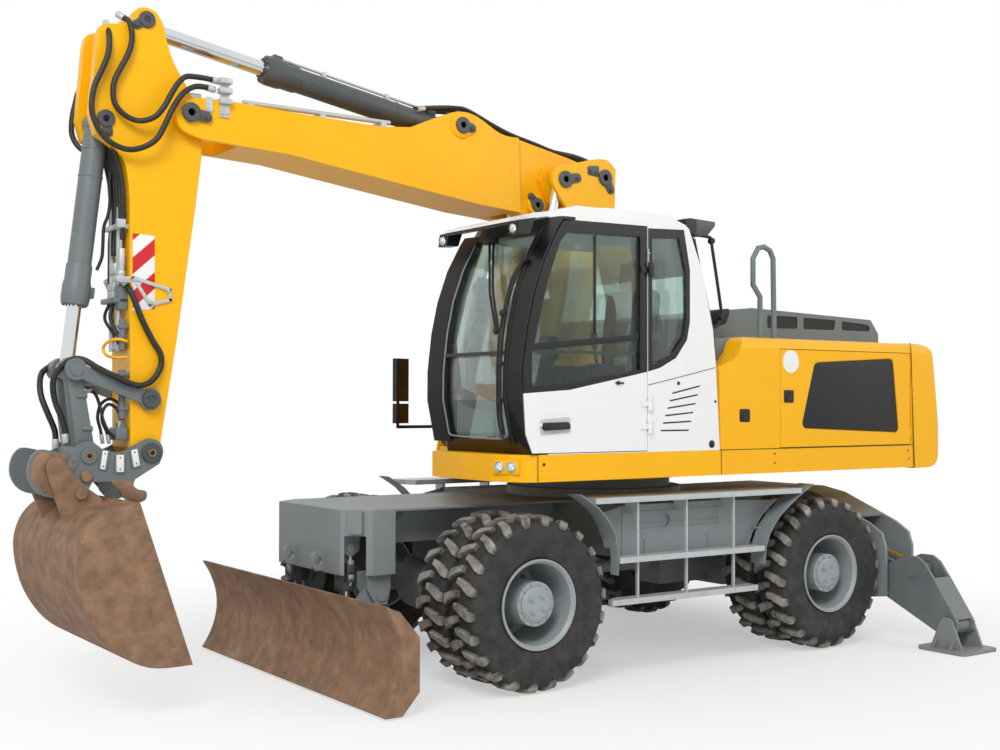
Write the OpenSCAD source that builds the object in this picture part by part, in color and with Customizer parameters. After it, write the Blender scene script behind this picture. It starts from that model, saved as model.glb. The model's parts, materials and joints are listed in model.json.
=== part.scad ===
/* [Wheels] */
// Distance between the two axles
wheel_base = 2590; // [2400:10:2900]
// Front axle ahead of the slew axis
front_axle_x = 1410; // [1300:10:1500]
// Tyre radius out to the tips of the lugs
tyre_r = 535; // [480:5:560]
// Width of one tyre
tyre_w = 270; // [220:5:300]
// Gap between the two tyres of a pair
tyre_gap = 48; // [30:2:80]
// Overall width over the tyres
track_w = 2490; // [2400:10:2550]
// Bead seat radius of the rim
rim_r = 262; // [240:2:280]
// Height of a tread lug
lug_h = 26; // [15:1:35]
/* [Undercarriage] */
// Top of the chassis deck above the ground
deck_z = 1100; // [1080:5:1130]
// Half width of the front of the chassis
front_half_w = 550; // [450:10:600]
// Front face of the chassis ahead of the slew axis
chassis_front_x = 2330; // [2200:10:2400]
// Plate thickness of the chassis
plate_t = 25; // [15:1:40]
/* [Blade] */
// Half width of the dozer blade
blade_half_w = 1300; // [1100:10:1400]
// Height of the dozer blade
blade_h = 610; // [500:10:700]
// Thickness of the blade skin
blade_t = 22; // [14:1:35]
/* [Stabilisers] */
// Thickness of a stabiliser leg side plate
leg_t = 24; // [16:1:35]
// Side of the square foot pad
foot_w = 400; // [320:10:460]
/* [Upper] */
// Half width of the superstructure
body_half_w = 1250; // [1200:5:1275]
// Underside of the superstructure
skirt_z = 1270; // [1255:5:1290]
// Top of the skirt
floor_z = 1435; // [1420:5:1460]
// Top of the engine hood
hood_z = 2200; // [2150:10:2260]
// Tail swing radius
tail_r = 2550; // [2450:10:2700]
// Sheet thickness of the hood
hood_t = 30; // [20:1:40]
/* [Cab] */
// Inner side of the cab
cab_in_y = 320; // [310:5:360]
// Thickness of the cab walls and door
cab_t = 45; // [35:1:60]
// Highest point of the cab roof
cab_top_z = 2990; // [2960:10:3120]
// Thickness of the cab glass
glass_t = 8; // [6:1:12]
/* [Arm] */
// Sideways place of the arm
arm_y = -120; // [-160:5:-110]
// Half width of the upper boom
boom_half_w = 230; // [215:1:240]
// Half width of the stick
stick_half_w = 160; // [140:1:165]
// Half width of the bucket
bucket_half_w = 650; // [500:10:750]
// Thickness of the bucket skin
bucket_t = 25; // [16:1:35]
/* [Pins] */
// Radius of the main pins
pin_r = 45; // [35:1:55]
// Radius of the linkage and cylinder pins
small_pin_r = 38; // [30:1:45]
// Radial clearance of a pin in its bore
pin_gap = 0.5; // [0.3:0.1:1]
// Gap between a turning piece and the face it sits on
seat_gap = 0.3; // [0.3:0.1:1]
/* [Hidden] */
$fn = 48;
// Colours of the paint and the bare metal
yellow = "#FDC010";
white = "#F2F2EF";
frame_grey = "#8A8F92";
arm_grey = "#5D6266";
rust = "#7A4A30";
black = "#1C1D1F";
chrome = "#D8DCDE";
rim_grey = "#A9AFB1";
// Wheel places
rear_axle_x = front_axle_x - wheel_base;
wheel_z = tyre_r;
outer_y = track_w / 2 - tyre_w / 2;
inner_y = outer_y - tyre_w - tyre_gap;
kingpin_y = inner_y - tyre_w / 2 - 70;
axle_r = 95;
kingpin_r = 32;
// Rear face of the chassis front box and half width of the centre beam
box_x0 = 2010;
beam_half_w = 360;
tool_x0 = -270;
tool_x1 = 640;
tool_y = body_half_w - 160;
tool_z = deck_z - 12;
// Underside of the tool box
tool_z0 = 750;
hub_r = 135;
// Inner face of the rim disc, outward of the inner tyre's middle
hub_face = 30;
tyre_facets = 16;
lug_count = 10;
// Arm pins in the side view, each as [x, z]
FOOT = [420, 1760];
KNUCKLE = [110, 3370];
HOIST_EYE = [470, 3325];
HOIST_BASE = [950, 1500];
ADJUST_BASE = [560, 2180];
ADJUST_EYE = [605, 3150];
STICK_BASE = [1240, 3640];
STICK_PIN = [3180, 3480];
STICK_EYE = [3427, 4014];
BUCKET_BASE = [3667, 3396];
LEVER_PIN = [3400, 1765];
LINK_TOP = [3835, 1935];
LINK_LOW = [3768, 1441];
COUPLER_PIN = [3395, 1450];
HOOK_PIN = [3955, 1375];
LOCK_PIN = [3817, 1227];
// Blade pins
BLADE_PIN = [2080, 560];
BLADE_EYE = [2235, 420];
BLADE_CYL = [2235, 850];
blade_arm_y = 430;
blade_cyl_y = 310;
// Stabiliser pins in the rear view, each as [y, z]
LEG_PIN = [1190, 410];
LEG_EYE = [1462, 545];
LEG_CYL = [380, 860];
PAD_PIN = [1767, 176];
// Outer faces of a leg's two plates and of its housing
leg_x0 = -1990;
leg_x1 = -1790;
housing_x0 = leg_x0 - 65;
housing_x1 = leg_x1 + 60;
housing_t = 25;
leg_mid_x = (leg_x0 + leg_x1) / 2;
// Half widths across the arm
cheek_in = boom_half_w - 24;
cheek_t = 27;
// Rear face of the hood and of the deck
hood_x0 = -2070;
lever_in = stick_half_w + 10;
hoist_dy = cheek_in + cheek_t + 84;
// Cylinder radii
hoist_r = 70;
adjust_r = 85;
stick_cyl_r = 78;
bucket_cyl_r = 68;
blade_cyl_r = 52;
leg_cyl_r = 60;
foot_pin_r = 32;
rod_share = 0.62;

// Extrudes an outline drawn in the side view from y0 to y1
module plate_y(pts, y0, y1) {
    translate([0, y1, 0]) rotate([90, 0, 0]) linear_extrude(y1 - y0) polygon(pts);
}
// Extrudes an outline drawn in the rear view, as [y, z], from x0 to x1
module plate_x(pts, x0, x1) {
    translate([x0, 0, 0]) rotate([90, 0, 90]) linear_extrude(x1 - x0) polygon(pts);
}
// Extrudes an outline drawn in plan from z0 to z1
module plate_z(pts, z0, z1) {
    translate([0, 0, z0]) linear_extrude(z1 - z0) polygon(pts);
}
module rod_y(p, r, y0, y1) {
    translate([p[0], y1, p[1]]) rotate([90, 0, 0]) cylinder(r = r, h = y1 - y0);
}
module rod_x(p, r, x0, x1) {
    translate([x0, p[0], p[1]]) rotate([0, 90, 0]) cylinder(r = r, h = x1 - x0);
}
module rod_z(p, r, z0, z1) {
    translate([p[0], p[1], z0]) cylinder(r = r, h = z1 - z0);
}
module box(a, b) {
    translate(a) cube(b - a);
}
// A bar with round ends in the side view, drawn as one outline
module bar_y(a, b, half_w, ra, rb, y0, y1) {
    along = (b - a) / norm(b - a);
    across = [-along[1], along[0]] * half_w;
    translate([0, y1, 0]) rotate([90, 0, 0]) linear_extrude(y1 - y0) {
        polygon([a + across, b + across, b - across, a - across]);
        translate(a) circle(r = ra);
        translate(b) circle(r = rb);
    }
}
module mirrored_y() {
    children();
    mirror([0, 1, 0]) children();
}
// Repeats across the arm's own middle plane
module mirrored_arm() {
    children();
    translate([0, 2 * arm_y, 0]) mirror([0, 1, 0]) children();
}
// Turns a shape drawn along +X so that it runs from a to b in the side view
module along_side(a, b, y = 0) {
    translate([a[0], y, a[1]]) rotate([0, -atan2(b[1] - a[1], b[0] - a[0]), 0]) children();
}
// Turns a shape drawn along +X so that it runs from a to b in the rear view
module along_rear(a, b, x = 0) {
    translate([x, a[0], a[1]]) rotate([90, 0, 90]) rotate([0, 0, atan2(b[1] - a[1], b[0] - a[0])])
        rotate([-90, 0, 0]) children();
}
function dist(a, b) = norm(b - a);
// Points of a smooth line through the given ones, n steps between each two
function smooth(p, n) = [for (i = [0:len(p) - 2])
    let (a = p[max(i - 1, 0)], b = p[i], c = p[i + 1], d = p[min(i + 2, len(p) - 1)])
    for (k = [0:n - 1]) let (t = k / n)
        (2 * b + (c - a) * t + (2 * a - 5 * b + 4 * c - d) * pow(t, 2) + (3 * b - a - 3 * c + d) * pow(t,
            3)) / 2,
    p[len(p) - 1]];

// Cylinder barrel along +X from its base pin: an eye, a bored tube and a gland
module barrel_shape(len, r, eye_half, pin) {
    rod_r = r * rod_share;
    difference() {
        union() {
            rotate([90, 0, 0]) cylinder(r = r * 0.95, h = 2 * eye_half, center = true);
            translate([r * 0.6, 0, 0]) rotate([0, 90, 0]) cylinder(r = r, h = len - r * 0.6);
            translate([len - r, 0, 0]) rotate([0, 90, 0]) cylinder(r = r * 1.12, h = r * 0.9);
        }
        rotate([90, 0, 0]) cylinder(r = pin + pin_gap, h = 4 * r, center = true);
        translate([r * 1.3, 0, 0]) rotate([0, 90, 0]) cylinder(r = rod_r + 1, h = len);
    }
}
// Piston rod along +X, from its inner end to a closed eye at the far pin
module rod_shape(from, to, r, eye_half) {
    rod_r = r * rod_share;
    translate([from, 0, 0]) rotate([0, 90, 0]) cylinder(r = rod_r, h = to - from - r * 0.4);
    translate([to, 0, 0]) rotate([90, 0, 0]) cylinder(r = r * 0.85, h = 2 * eye_half, center = true);
}

// A ring of flat facets about the Y axis, from an outline of [radius, y] points
module faceted_ring(outline, n) {
    m = len(outline);
    points = [for (i = [0:n - 1]) for (p = outline) [p[0] * cos(360 * i / n), p[1],
        p[0] * sin(360 * i / n)]];
    faces = [for (i = [0:n - 1]) for (j = [0:m - 1])
        [i * m + j, ((i + 1) % n) * m + j, ((i + 1) % n) * m + (j + 1) % m, i * m + (j + 1) % m]];
    polyhedron(points, faces, convexity = 6);
}
// One tyre standing on its own axis, along Y and centred
module tyre_shape() {
    w = tyre_w / 2;
    crown = tyre_r - lug_h;
    mid_r = (rim_r + crown) / 2;
    bead = (rim_r + seat_gap) / cos(180 / tyre_facets);
    lug_half = 0.4 * 3.1416 * tyre_r / lug_count;
    tip = sqrt(tyre_r * tyre_r - lug_half * lug_half);
    faceted_ring([[bead, -w * 0.72], [mid_r, -w], [crown - 8, -w * 0.88], [crown - 8, w * 0.88],
        [mid_r, w], [bead, w * 0.72]], tyre_facets);
    // Lugs in two staggered rows
    for (row = [0, 1]) for (i = [0:lug_count - 1])
        rotate([0, (i + row / 2) * 360 / lug_count, 0]) mirror([0, row, 0])
            plate_x([[-4, crown - 25], [-4, tip], [w * 0.86, tip], [w * 0.985, crown - 35]],
                -lug_half, lug_half);
}
module tyre_pair(x, side) {
    color(black) for (y = [outer_y, inner_y])
        translate([x, side * y, wheel_z]) tyre_shape();
}
// A twin rim with its hub and the spacer band between the tyres
module rim_pair(x, side) {
    lip = outer_y + tyre_w / 2;
    color(rim_grey) translate([x, 0, wheel_z]) scale([1, side, 1]) rotate([-90, 0, 0]) {
        rotate_extrude($fn = 96) polygon([
            [rim_r - 14, inner_y - tyre_w / 2 + 8], [rim_r, inner_y - tyre_w / 2 + 8],
            [rim_r, lip - 30], [rim_r + 12, lip - 18], [rim_r + 12, lip - 6], [rim_r + 2, lip - 6],
                [rim_r - 14, lip - 26]]);
        translate([0, 0, inner_y + hub_face]) cylinder(r = rim_r - 8, h = 24);
        translate([0, 0, inner_y + hub_face + 10]) cylinder(r = hub_r,
            h = lip - 50 - inner_y - hub_face - 10);
        translate([0, 0, lip - 52]) cylinder(r = hub_r * 0.8, h = 10);
    }
}

module chassis() {
    top = deck_z - 10;
    color(frame_grey) {
        difference() {
            union() {
                // Front box with its corners cut off
                plate_z([[box_x0, -front_half_w], [chassis_front_x - 160, -front_half_w],
                    [chassis_front_x, -front_half_w + 120], [chassis_front_x, front_half_w - 120],
                    [chassis_front_x - 160, front_half_w], [box_x0, front_half_w]], 690, top);
                // Centre beam over both axles and the deck plate above the front wheels
                box([housing_x1, -beam_half_w, 860], [box_x0 + 10, beam_half_w, top]);
                box([-700, -beam_half_w, 700], [900, beam_half_w, 870]);
                box([tool_x1 + seat_gap, -front_half_w, top - 14], [box_x0 + 10, front_half_w, top]);
            }
            box([box_x0 + 30, -front_half_w + plate_t, 600],
                [chassis_front_x - 20, front_half_w - plate_t, 930]);
        }
        // Gussets between the centre beam and the front box
        for (s = [-1, 1]) plate_z([[box_x0 + 1, s * beam_half_w], [box_x0 + 1, s * front_half_w],
            [box_x0 - 30, s * (front_half_w - 60)],
            [box_x0 - 160, s * (beam_half_w - 1)]], 1020, top - 14);
        // Towing eyes on the front face
        for (s = [-1, 1]) difference() {
            plate_y([[chassis_front_x - 5, 700], [chassis_front_x + 55, 700],
                [chassis_front_x + 78, 730], [chassis_front_x + 78, 790],
                [chassis_front_x + 55, 820], [chassis_front_x - 5, 820]], s * 200 - 15, s * 200 + 15);
            rod_y([chassis_front_x + 38, 760], 28, s * 200 - 20, s * 200 + 20);
        }
        // Lamp blocks on the cut corners
        for (s = [-1, 1]) rotate([0, 0, 0]) translate([chassis_front_x - 80, s * (front_half_w - 60), 1020])
            rotate([0, 0, s * 37]) box([-32, -45, -75], [28, 45, 60]);
        // Slew ring seat and the lower ring
        rod_z([0, 0], 640, deck_z - 12, deck_z + 50);
        rod_z([0, 0], 560, deck_z + 49, skirt_z - 58 - seat_gap);
        // Ears for the blade arms and for the blade cylinders
        for (s = [-1, 1]) for (d = [-1, 1]) {
            plate_y([[box_x0 + 5, 700], [box_x0 + 5, 600], [2040, 500], [2120, 500], [2180, 600],
                [2180, 700]],
                s * blade_arm_y + d * 62 - 10, s * blade_arm_y + d * 62 + 10);
            plate_y([[2165, 935], [2305, 935], [2295, 830], [2235, 790], [2175, 830]],
                s * blade_cyl_y + d * 68 - 10, s * blade_cyl_y + d * 68 + 10);
        }
        for (s = [-1, 1]) {
            rod_y(BLADE_PIN, small_pin_r, s * blade_arm_y - 80, s * blade_arm_y + 80);
            rod_y(BLADE_CYL, 30, s * blade_cyl_y - 85, s * blade_cyl_y + 85);
        }
    }
}
module front_axle() {
    fork_y = kingpin_y - 22;
    color(frame_grey) difference() {
        union() {
            rod_y([front_axle_x, wheel_z], axle_r, -kingpin_y + 70, kingpin_y - 70);
            rod_y([front_axle_x, wheel_z], 190, -150, 150);
            for (s = [-1, 1]) for (z = [-110, 80])
                box([front_axle_x - 60, s * fork_y - 68, wheel_z + z],
                    [front_axle_x + 60, s * fork_y + 68, wheel_z + z + 30]);
            // Swing pin block under the beam
            box([front_axle_x - 90, -90, wheel_z + 150], [front_axle_x + 90, 90, 860]);
        }
        for (s = [-1, 1]) rod_z([front_axle_x, s * kingpin_y],
            kingpin_r + pin_gap, wheel_z - 200, wheel_z + 200);
    }
}
module knuckle(side) {
    y0 = min(side * (kingpin_y + 30), side * (inner_y + hub_face - seat_gap));
    y1 = max(side * (kingpin_y + 30), side * (inner_y + hub_face - seat_gap));
    color(frame_grey) {
        box([front_axle_x - 55, side * kingpin_y - 40, wheel_z - 79],
            [front_axle_x + 55, side * kingpin_y + 40, wheel_z + 79]);
        rod_y([front_axle_x, wheel_z], 70, y0, y1);
        rod_z([front_axle_x, side * kingpin_y], kingpin_r, wheel_z - 108, wheel_z + 108);
    }
}
module knuckle_l() knuckle(1);
module knuckle_r() knuckle(-1);
module rear_axle() {
    color(frame_grey) {
        rod_y([rear_axle_x, wheel_z], axle_r, -inner_y - hub_face + seat_gap,
            inner_y + hub_face - seat_gap);
        rod_y([rear_axle_x, wheel_z], 200, -170, 170);
        for (s = [-1, 1]) box([rear_axle_x - 100, s * 300 - 60, wheel_z + 60],
            [rear_axle_x + 100, s * 300 + 60, 860]);
        // Transfer gearbox and the two propeller shafts
        box([rear_axle_x + 150, -140, wheel_z - 150], [rear_axle_x + 650, 140, wheel_z + 160]);
        rod_x([0, wheel_z], 45, rear_axle_x + 650, front_axle_x - 195);
    }
}
module tyres_fl() tyre_pair(front_axle_x, 1);
module tyres_fr() tyre_pair(front_axle_x, -1);
module tyres_rl() tyre_pair(rear_axle_x, 1);
module tyres_rr() tyre_pair(rear_axle_x, -1);
module rims_fl() rim_pair(front_axle_x, 1);
module rims_fr() rim_pair(front_axle_x, -1);
module rims_rl() rim_pair(rear_axle_x, 1);
module rims_rr() rim_pair(rear_axle_x, -1);

module steps() {
    // Running board, middle step and low step, each as [x0, x1, front corner cut, z, depth]
    boards = [[-865, 985, 60, 1120, 250], [-496, 790, 30, 740, 110], [-430, 855, 90, 478, 100]];
    color("#B9BEC0") mirrored_y() {
        for (b = boards) difference() {
            plate_z([[b[0], body_half_w - b[4]], [b[0], body_half_w], [b[1], body_half_w], [b[1],
                body_half_w - 0.4 * b[4]],
                [b[1] - b[2], body_half_w - b[4]]], b[3], b[3] + 36);
            // Folded tread plate, hollow from below
            plate_z([[b[0] - 1, body_half_w - b[4] + 5], [b[0] - 1, body_half_w - 5],
                [b[1] - 5, body_half_w - 5],
                [b[1] - 5, body_half_w - 0.4 * b[4]], [b[1] - b[2] - 5, body_half_w - b[4] + 5]],
                    b[3] - 1, b[3] + 31);
        }
        // Hangers of the lower steps and the arms that carry the running board on the tool box
        for (x = [-250, 180, 600]) {
            box([x, body_half_w - 60, 505], [x + 14, body_half_w - 40, 1152]);
            box([x, tool_y, 1040], [x + 14, body_half_w - 45, 1152]);
        }
    }
}
module side_boxes() {
    // Outer line of a fender in the side view, as [x, z] from the top end down
    front_line = [[1100, 1185], [1019, 1137], [955, 1095], [891, 1032], [845, 965], [815, 900],
        [800, 803], [800, 671]];
    rear_line = [[-985, 1180], [-906, 1140], [-820, 1092], [-744, 1042], [-660, 985], [-594, 918],
        [-545, 850], [-515, 780], [-500, 651]];
    color(frame_grey) mirrored_y() {
        // Tool box between the wheels, with pressed lines and a lock recess on its face
        difference() {
            box([tool_x0, beam_half_w, tool_z0], [tool_x1, tool_y, tool_z]);
            for (z = [930, 962, 1044]) box([tool_x0 + 60, tool_y - 4, z],
                [tool_x1 - 60, tool_y + 1, z + 12]);
            rod_y([272, 978], 42, tool_y - 14, tool_y + 1);
            for (x = [tool_x0 + 150, tool_x1 - 190]) box([x, tool_y - 5, 765], [x + 26, tool_y + 1, 860]);
        }
        // Fenders, narrower below where the steered wheel passes
        difference() {
            for (f = [front_line, rear_line])
                plate_y(concat(f, [for (i = [len(f) - 1:-1:0]) [f[i][0] + 5 * sign(f[0][0]), f[i][1] - 5]]),
                    body_half_w - 140, body_half_w - 4);
            box([780, body_half_w - 150, 600], [840, body_half_w - 80, 830]);
        }
        // Webs that carry the fenders on the ends of the tool box
        plate_y([[tool_x1 - 5, tool_z0 + 10], [tool_x1 - 5, tool_z - 5], [880, tool_z - 55], [835, 965],
            [806, 900], [780, 850], [700, 800], [650, 762]], body_half_w - 177, body_half_w - 165);
        plate_y([[tool_x0 + 5, tool_z0 + 10], [tool_x0 + 5, tool_z - 5], [-790, tool_z - 20],
            [-655, 975], [-590, 908], [-541, 840], [-505, 760]],
            body_half_w - 177, body_half_w - 165);
        for (b = [[765, 819, 900], [-578, -530, 880]])
            box([b[0], body_half_w - 170, b[2]], [b[1], body_half_w - 130, b[2] + 12]);
    }
}
module stabiliser_housing() {
    half = [[0, 1088], [400, 1088], [620, 1050], [1120, 858], [1235, 790], [1270, 690], [1270, 330],
        [1120, 310], [1020, 330],
        [800, 600], [300, 700], [0, 700]];
    roof = [[0, 1088], [400, 1088], [620, 1050], [1000, 904], [994, 888], [616, 1034], [398, 1072],
        [0, 1072]];
    color(frame_grey) {
        mirrored_y() {
            for (x = [housing_x0, housing_x1 - housing_t]) plate_x(half, x, x + housing_t);
            plate_x(roof, housing_x0 + 1, housing_x1 - 1);
            plate_x([[0, 700], [300, 700], [300, 716], [0, 716]], housing_x0 + 1, housing_x1 - 1);
            // Upright edge flange of the housing's end
            box([housing_x0 + 2, 1255, 340], [housing_x0 + 14, 1270, 690]);
        }
        for (s = [-1, 1]) rod_x([s * LEG_PIN[0], LEG_PIN[1]], small_pin_r, housing_x0, housing_x1);
        for (s = [-1, 1]) rod_x([s * LEG_CYL[0], LEG_CYL[1]], 30, housing_x0, housing_x1);
    }
}
module blade() {
    color(rust) {
        outer = [for (i = [0:18]) [2400 + 110 * pow(i / 9 - 1, 2), 12 + blade_h * i / 18]];
        inner = [for (i = [18:-1:0]) [2400 + 110 * pow(i / 9 - 1, 2) - blade_t, 12 + blade_h * i / 18]];
        plate_y(concat(outer, inner), -blade_half_w, blade_half_w);
        for (y = [-blade_half_w + 12, -blade_arm_y, -150, 150, blade_arm_y, blade_half_w - 12])
            plate_y(concat([for (p = outer) [p[0] - 5, p[1]]], [[2420, 12 + blade_h * 0.95],
                [2290, 12 + blade_h * 0.7], [2290, 12 + blade_h * 0.2], [2400, 12]]),
                y - 12, y + 12);
    }
}
module blade_arms() {
    color(frame_grey) for (s = [-1, 1]) {
        difference() {
            union() {
                plate_y([[2040, 500], [2290, 130], [2290, 440], [2130, 610]],
                    s * blade_arm_y - 42, s * blade_arm_y + 42);
                rod_y(BLADE_PIN, 72, s * blade_arm_y - 46, s * blade_arm_y + 46);
            }
            rod_y(BLADE_PIN, small_pin_r + pin_gap, s * blade_arm_y - 90, s * blade_arm_y + 90);
        }
        for (d = [-1, 1])
            plate_y([[2180, 420], [2190, 360], [2230, 262], [2290, 255], [2290, 440], [2235, 485]],
                s * blade_cyl_y + d * 50 - 10, s * blade_cyl_y + d * 50 + 10);
    }
    // Cross beam behind the blade between the two arms
    color(frame_grey) box([2225, -blade_arm_y + 30, 170], [2290, blade_arm_y - 30, 270]);
}
module blade_barrels() {
    color(arm_grey) for (s = [-1, 1])
        along_side(BLADE_CYL, BLADE_EYE, s * blade_cyl_y) barrel_shape(255, blade_cyl_r, 46, 30);
}
module blade_rods() {
    color(chrome) for (s = [-1, 1])
        along_side(BLADE_CYL, BLADE_EYE, s * blade_cyl_y) rod_shape(205, dist(BLADE_CYL, BLADE_EYE),
            blade_cyl_r, 38);
}
module leg(side) {
    plate = [[1100, 470], [1112, 350], [1190, 330], [1232, 322], [1690, 112], [1770, 104], [1832, 140],
        [1845, 205], [1640, 500],
        [1565, 600], [1500, 640], [1400, 640], [1290, 590]];
    color(frame_grey) scale([1, side, 1]) difference() {
        union() {
            for (x = [leg_x0, leg_x1 - leg_t]) plate_x(plate, x, x + leg_t);
            // Lower and upper cover plates between the side plates
            plate_x([[1300, 291], [1690, 112], [1696, 126], [1306, 305]], leg_x0 + 1, leg_x1 - 1);
            plate_x([[1640, 500], [1830, 226], [1816, 216], [1626, 490]], leg_x0 + 1, leg_x1 - 1);
            rod_x(LEG_PIN, 78, leg_x0, leg_x1);
            rod_x(PAD_PIN, 58, leg_x0, leg_x1);
            for (x = [leg_x0 - 8, leg_x1 - leg_t]) rod_x(LEG_EYE, 62, x, x + leg_t + 8);
        }
        rod_x(LEG_PIN, small_pin_r + pin_gap, leg_x0 - 60, leg_x1 + 60);
        rod_x(PAD_PIN, foot_pin_r + pin_gap, leg_x0 - 60, leg_x1 + 60);
        // Room for the cylinder between the plates
        box([leg_x0 + leg_t, 1300, 430], [leg_x1 - leg_t, 1620, 700]);
    }
}
module leg_l() leg(1);
module leg_r() leg(-1);
module foot(side) {
    half = foot_w / 2;
    color(frame_grey) scale([1, side, 1]) {
        plate_z([[leg_mid_x - half, PAD_PIN[0] - half + 30], [leg_mid_x - half + 30, PAD_PIN[0] - half],
            [leg_mid_x + half - 30, PAD_PIN[0] - half],
            [leg_mid_x + half, PAD_PIN[0] - half + 30], [leg_mid_x + half, PAD_PIN[0] + half - 30],
                [leg_mid_x + half - 30, PAD_PIN[0] + half],
            [leg_mid_x - half + 30, PAD_PIN[0] + half], [leg_mid_x - half, PAD_PIN[0] + half - 30]], 0, 24);
        for (x = [leg_x0 - 26, leg_x1 + 6]) {
            plate_x([[PAD_PIN[0] - 130, 20], [PAD_PIN[0] + 130, 20], [PAD_PIN[0] + 48, PAD_PIN[1] + 40],
                [PAD_PIN[0] + 20, PAD_PIN[1] + 62],
                [PAD_PIN[0] - 20, PAD_PIN[1] + 62], [PAD_PIN[0] - 48, PAD_PIN[1] + 40]], x, x + 20);
            // Gussets across each cheek
            out = x < leg_mid_x ? -1 : 1;
            for (y = [-70, 70]) plate_y([[x + 10, 22], [x + 10 + out * 70, 22], [x + 10 + out * 64, 40],
                [x + 10, 110]], PAD_PIN[0] + y - 7, PAD_PIN[0] + y + 7);
        }
        rod_x(PAD_PIN, foot_pin_r, leg_x0 - 26, leg_x1 + 26);
    }
}
module foot_l() foot(1);
module foot_r() foot(-1);
module leg_barrel(side) {
    color(arm_grey) scale([1, side, 1]) along_rear(LEG_CYL, LEG_EYE, leg_mid_x) barrel_shape(600,
        leg_cyl_r, 70, 30);
}
module leg_barrel_l() leg_barrel(1);
module leg_barrel_r() leg_barrel(-1);
module leg_rod(side) {
    color(chrome) scale([1, side, 1]) along_rear(LEG_CYL, LEG_EYE, leg_mid_x) rod_shape(520,
        dist(LEG_CYL, LEG_EYE), leg_cyl_r, 60);
}
module leg_rod_l() leg_rod(1);
module leg_rod_r() leg_rod(-1);

module deck() {
    color(yellow) difference() {
        plate_z([[hood_x0, -body_half_w], [440, -body_half_w], [540, -1215], [610, -1130], [940, -560],
            [1060, -430], [1100, -380], [1100, cab_in_y],
            [1600, cab_in_y], [1620, 700], [1600, 1000], [1560, 1130], [1500, 1215], [1430, body_half_w],
            [hood_x0, body_half_w]], skirt_z, floor_z);
        rod_z([0, 0], 300, skirt_z - 10, floor_z + 10);
        // Pockets under the eyes of the hoist cylinders
        mirrored_arm() box([HOIST_BASE[0] - 100, arm_y + hoist_dy - 73.5, floor_z - 50],
            [HOIST_BASE[0] + 100, arm_y + hoist_dy + 73.5, floor_z + 1]);
    }
    color(arm_grey) {
        rod_z([0, 0], 600, skirt_z - 58, skirt_z);
        // Ears of the boom foot and the hoist cylinders
        mirrored_arm() {
            plate_y([[180, floor_z], [840, floor_z], [560, 1820], [480, 1890], [360, 1890], [290, 1820]],
                arm_y + boom_half_w + 22, arm_y + boom_half_w + 22 + 30);
            for (d = [-83, 83]) plate_y([[860, floor_z - 165], [1060, floor_z - 165], [1010, 1560],
                [890, 1560]],
                arm_y + hoist_dy + d - 9, arm_y + hoist_dy + d + 9);
            rod_y(HOIST_BASE, small_pin_r, arm_y + hoist_dy - 95, arm_y + hoist_dy + 95);
        }
        rod_y(FOOT, pin_r, arm_y - boom_half_w - 52, arm_y + boom_half_w + 52);
    }
}
// Cross section of the hood and the counterweight as [y, z], with rounded upper edges
HOOD_SECTION = concat(
    [for (p = [[1250, 0], [1250, 75], [1243, 38], [1222, 12],
        [1185, 0]]) [p[0] - 1250 + body_half_w, p[1] == 0 && p[0] == 1250 ? skirt_z : hood_z - p[1]]],
    [for (p = [[1185, 0], [1222, 12], [1243, 38], [1250, 75],
        [1250, 0]]) [1250 - p[0] - body_half_w, p[1] == 0 && p[0] == 1250 ? skirt_z : hood_z - p[1]]]);
// Side view of the hood, stepping down behind the cab
HOOD_OUT = [[hood_x0, floor_z], [-78, floor_z], [-68, 1990], [-200, 2040], [-250, 2085], [-290, 2170],
    [-320, 2190], [-350, hood_z], [hood_x0, hood_z]];
// Front end of the tank housing on the right
tank_x1 = 680;
// Doors of the hood: ends, lower and upper edge, and the hinge pins at their rear
door_x0 = hood_x0 + 30;
door_x1 = -652;
door_z1 = hood_z - 78;
hood_hinge = [door_x0 - 7, body_half_w - 6];
module hood() {
    color(yellow) {
        difference() {
            intersection() {
                plate_y(HOOD_OUT, -body_half_w, body_half_w);
                plate_x(HOOD_SECTION, hood_x0, 0);
            }
            plate_y([[hood_x0 + hood_t, floor_z - 1], [-78 - hood_t, floor_z - 1], [-98, 1965],
                [-215, 2010], [-320, 2160], [-370, hood_z - hood_t],
                [hood_x0 + hood_t, hood_z - hood_t]], -body_half_w + hood_t, body_half_w - hood_t);
            // Openings of the doors and of the top cover
            mirrored_y() box([door_x0 - 22, body_half_w - hood_t - 1, floor_z + 4],
                [door_x1 + 4, body_half_w + 1, door_z1 + 4]);
            mirrored_y() box([door_x0 + 60, body_half_w - 2 * hood_t, floor_z + 60],
                [door_x1 - 50, body_half_w + 1, door_z1 - 50]);
            box([-1950, -800, hood_z - 100], [-480, 800, hood_z + 1]);
        }
        // Tank housings ahead of the hood on the right
        plate_z([[-105, -body_half_w], [tank_x1 - 260, -body_half_w], [tank_x1 - 180, -1220],
            [tank_x1 - 120, -1130], [tank_x1, -930], [tank_x1, arm_y - hoist_dy - 150],
            [-105, arm_y - hoist_dy - 150]], floor_z, 1890);
    }
    // Hinge pins of the doors
    color(arm_grey) mirrored_y() rod_z(hood_hinge, 5, floor_z, door_z1 + 10);
    // Air intake between the cab and the hood
    color(arm_grey) box([-330, cab_in_y + 120, 1960], [-90, body_half_w - 160, hood_z - 10]);
}
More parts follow.
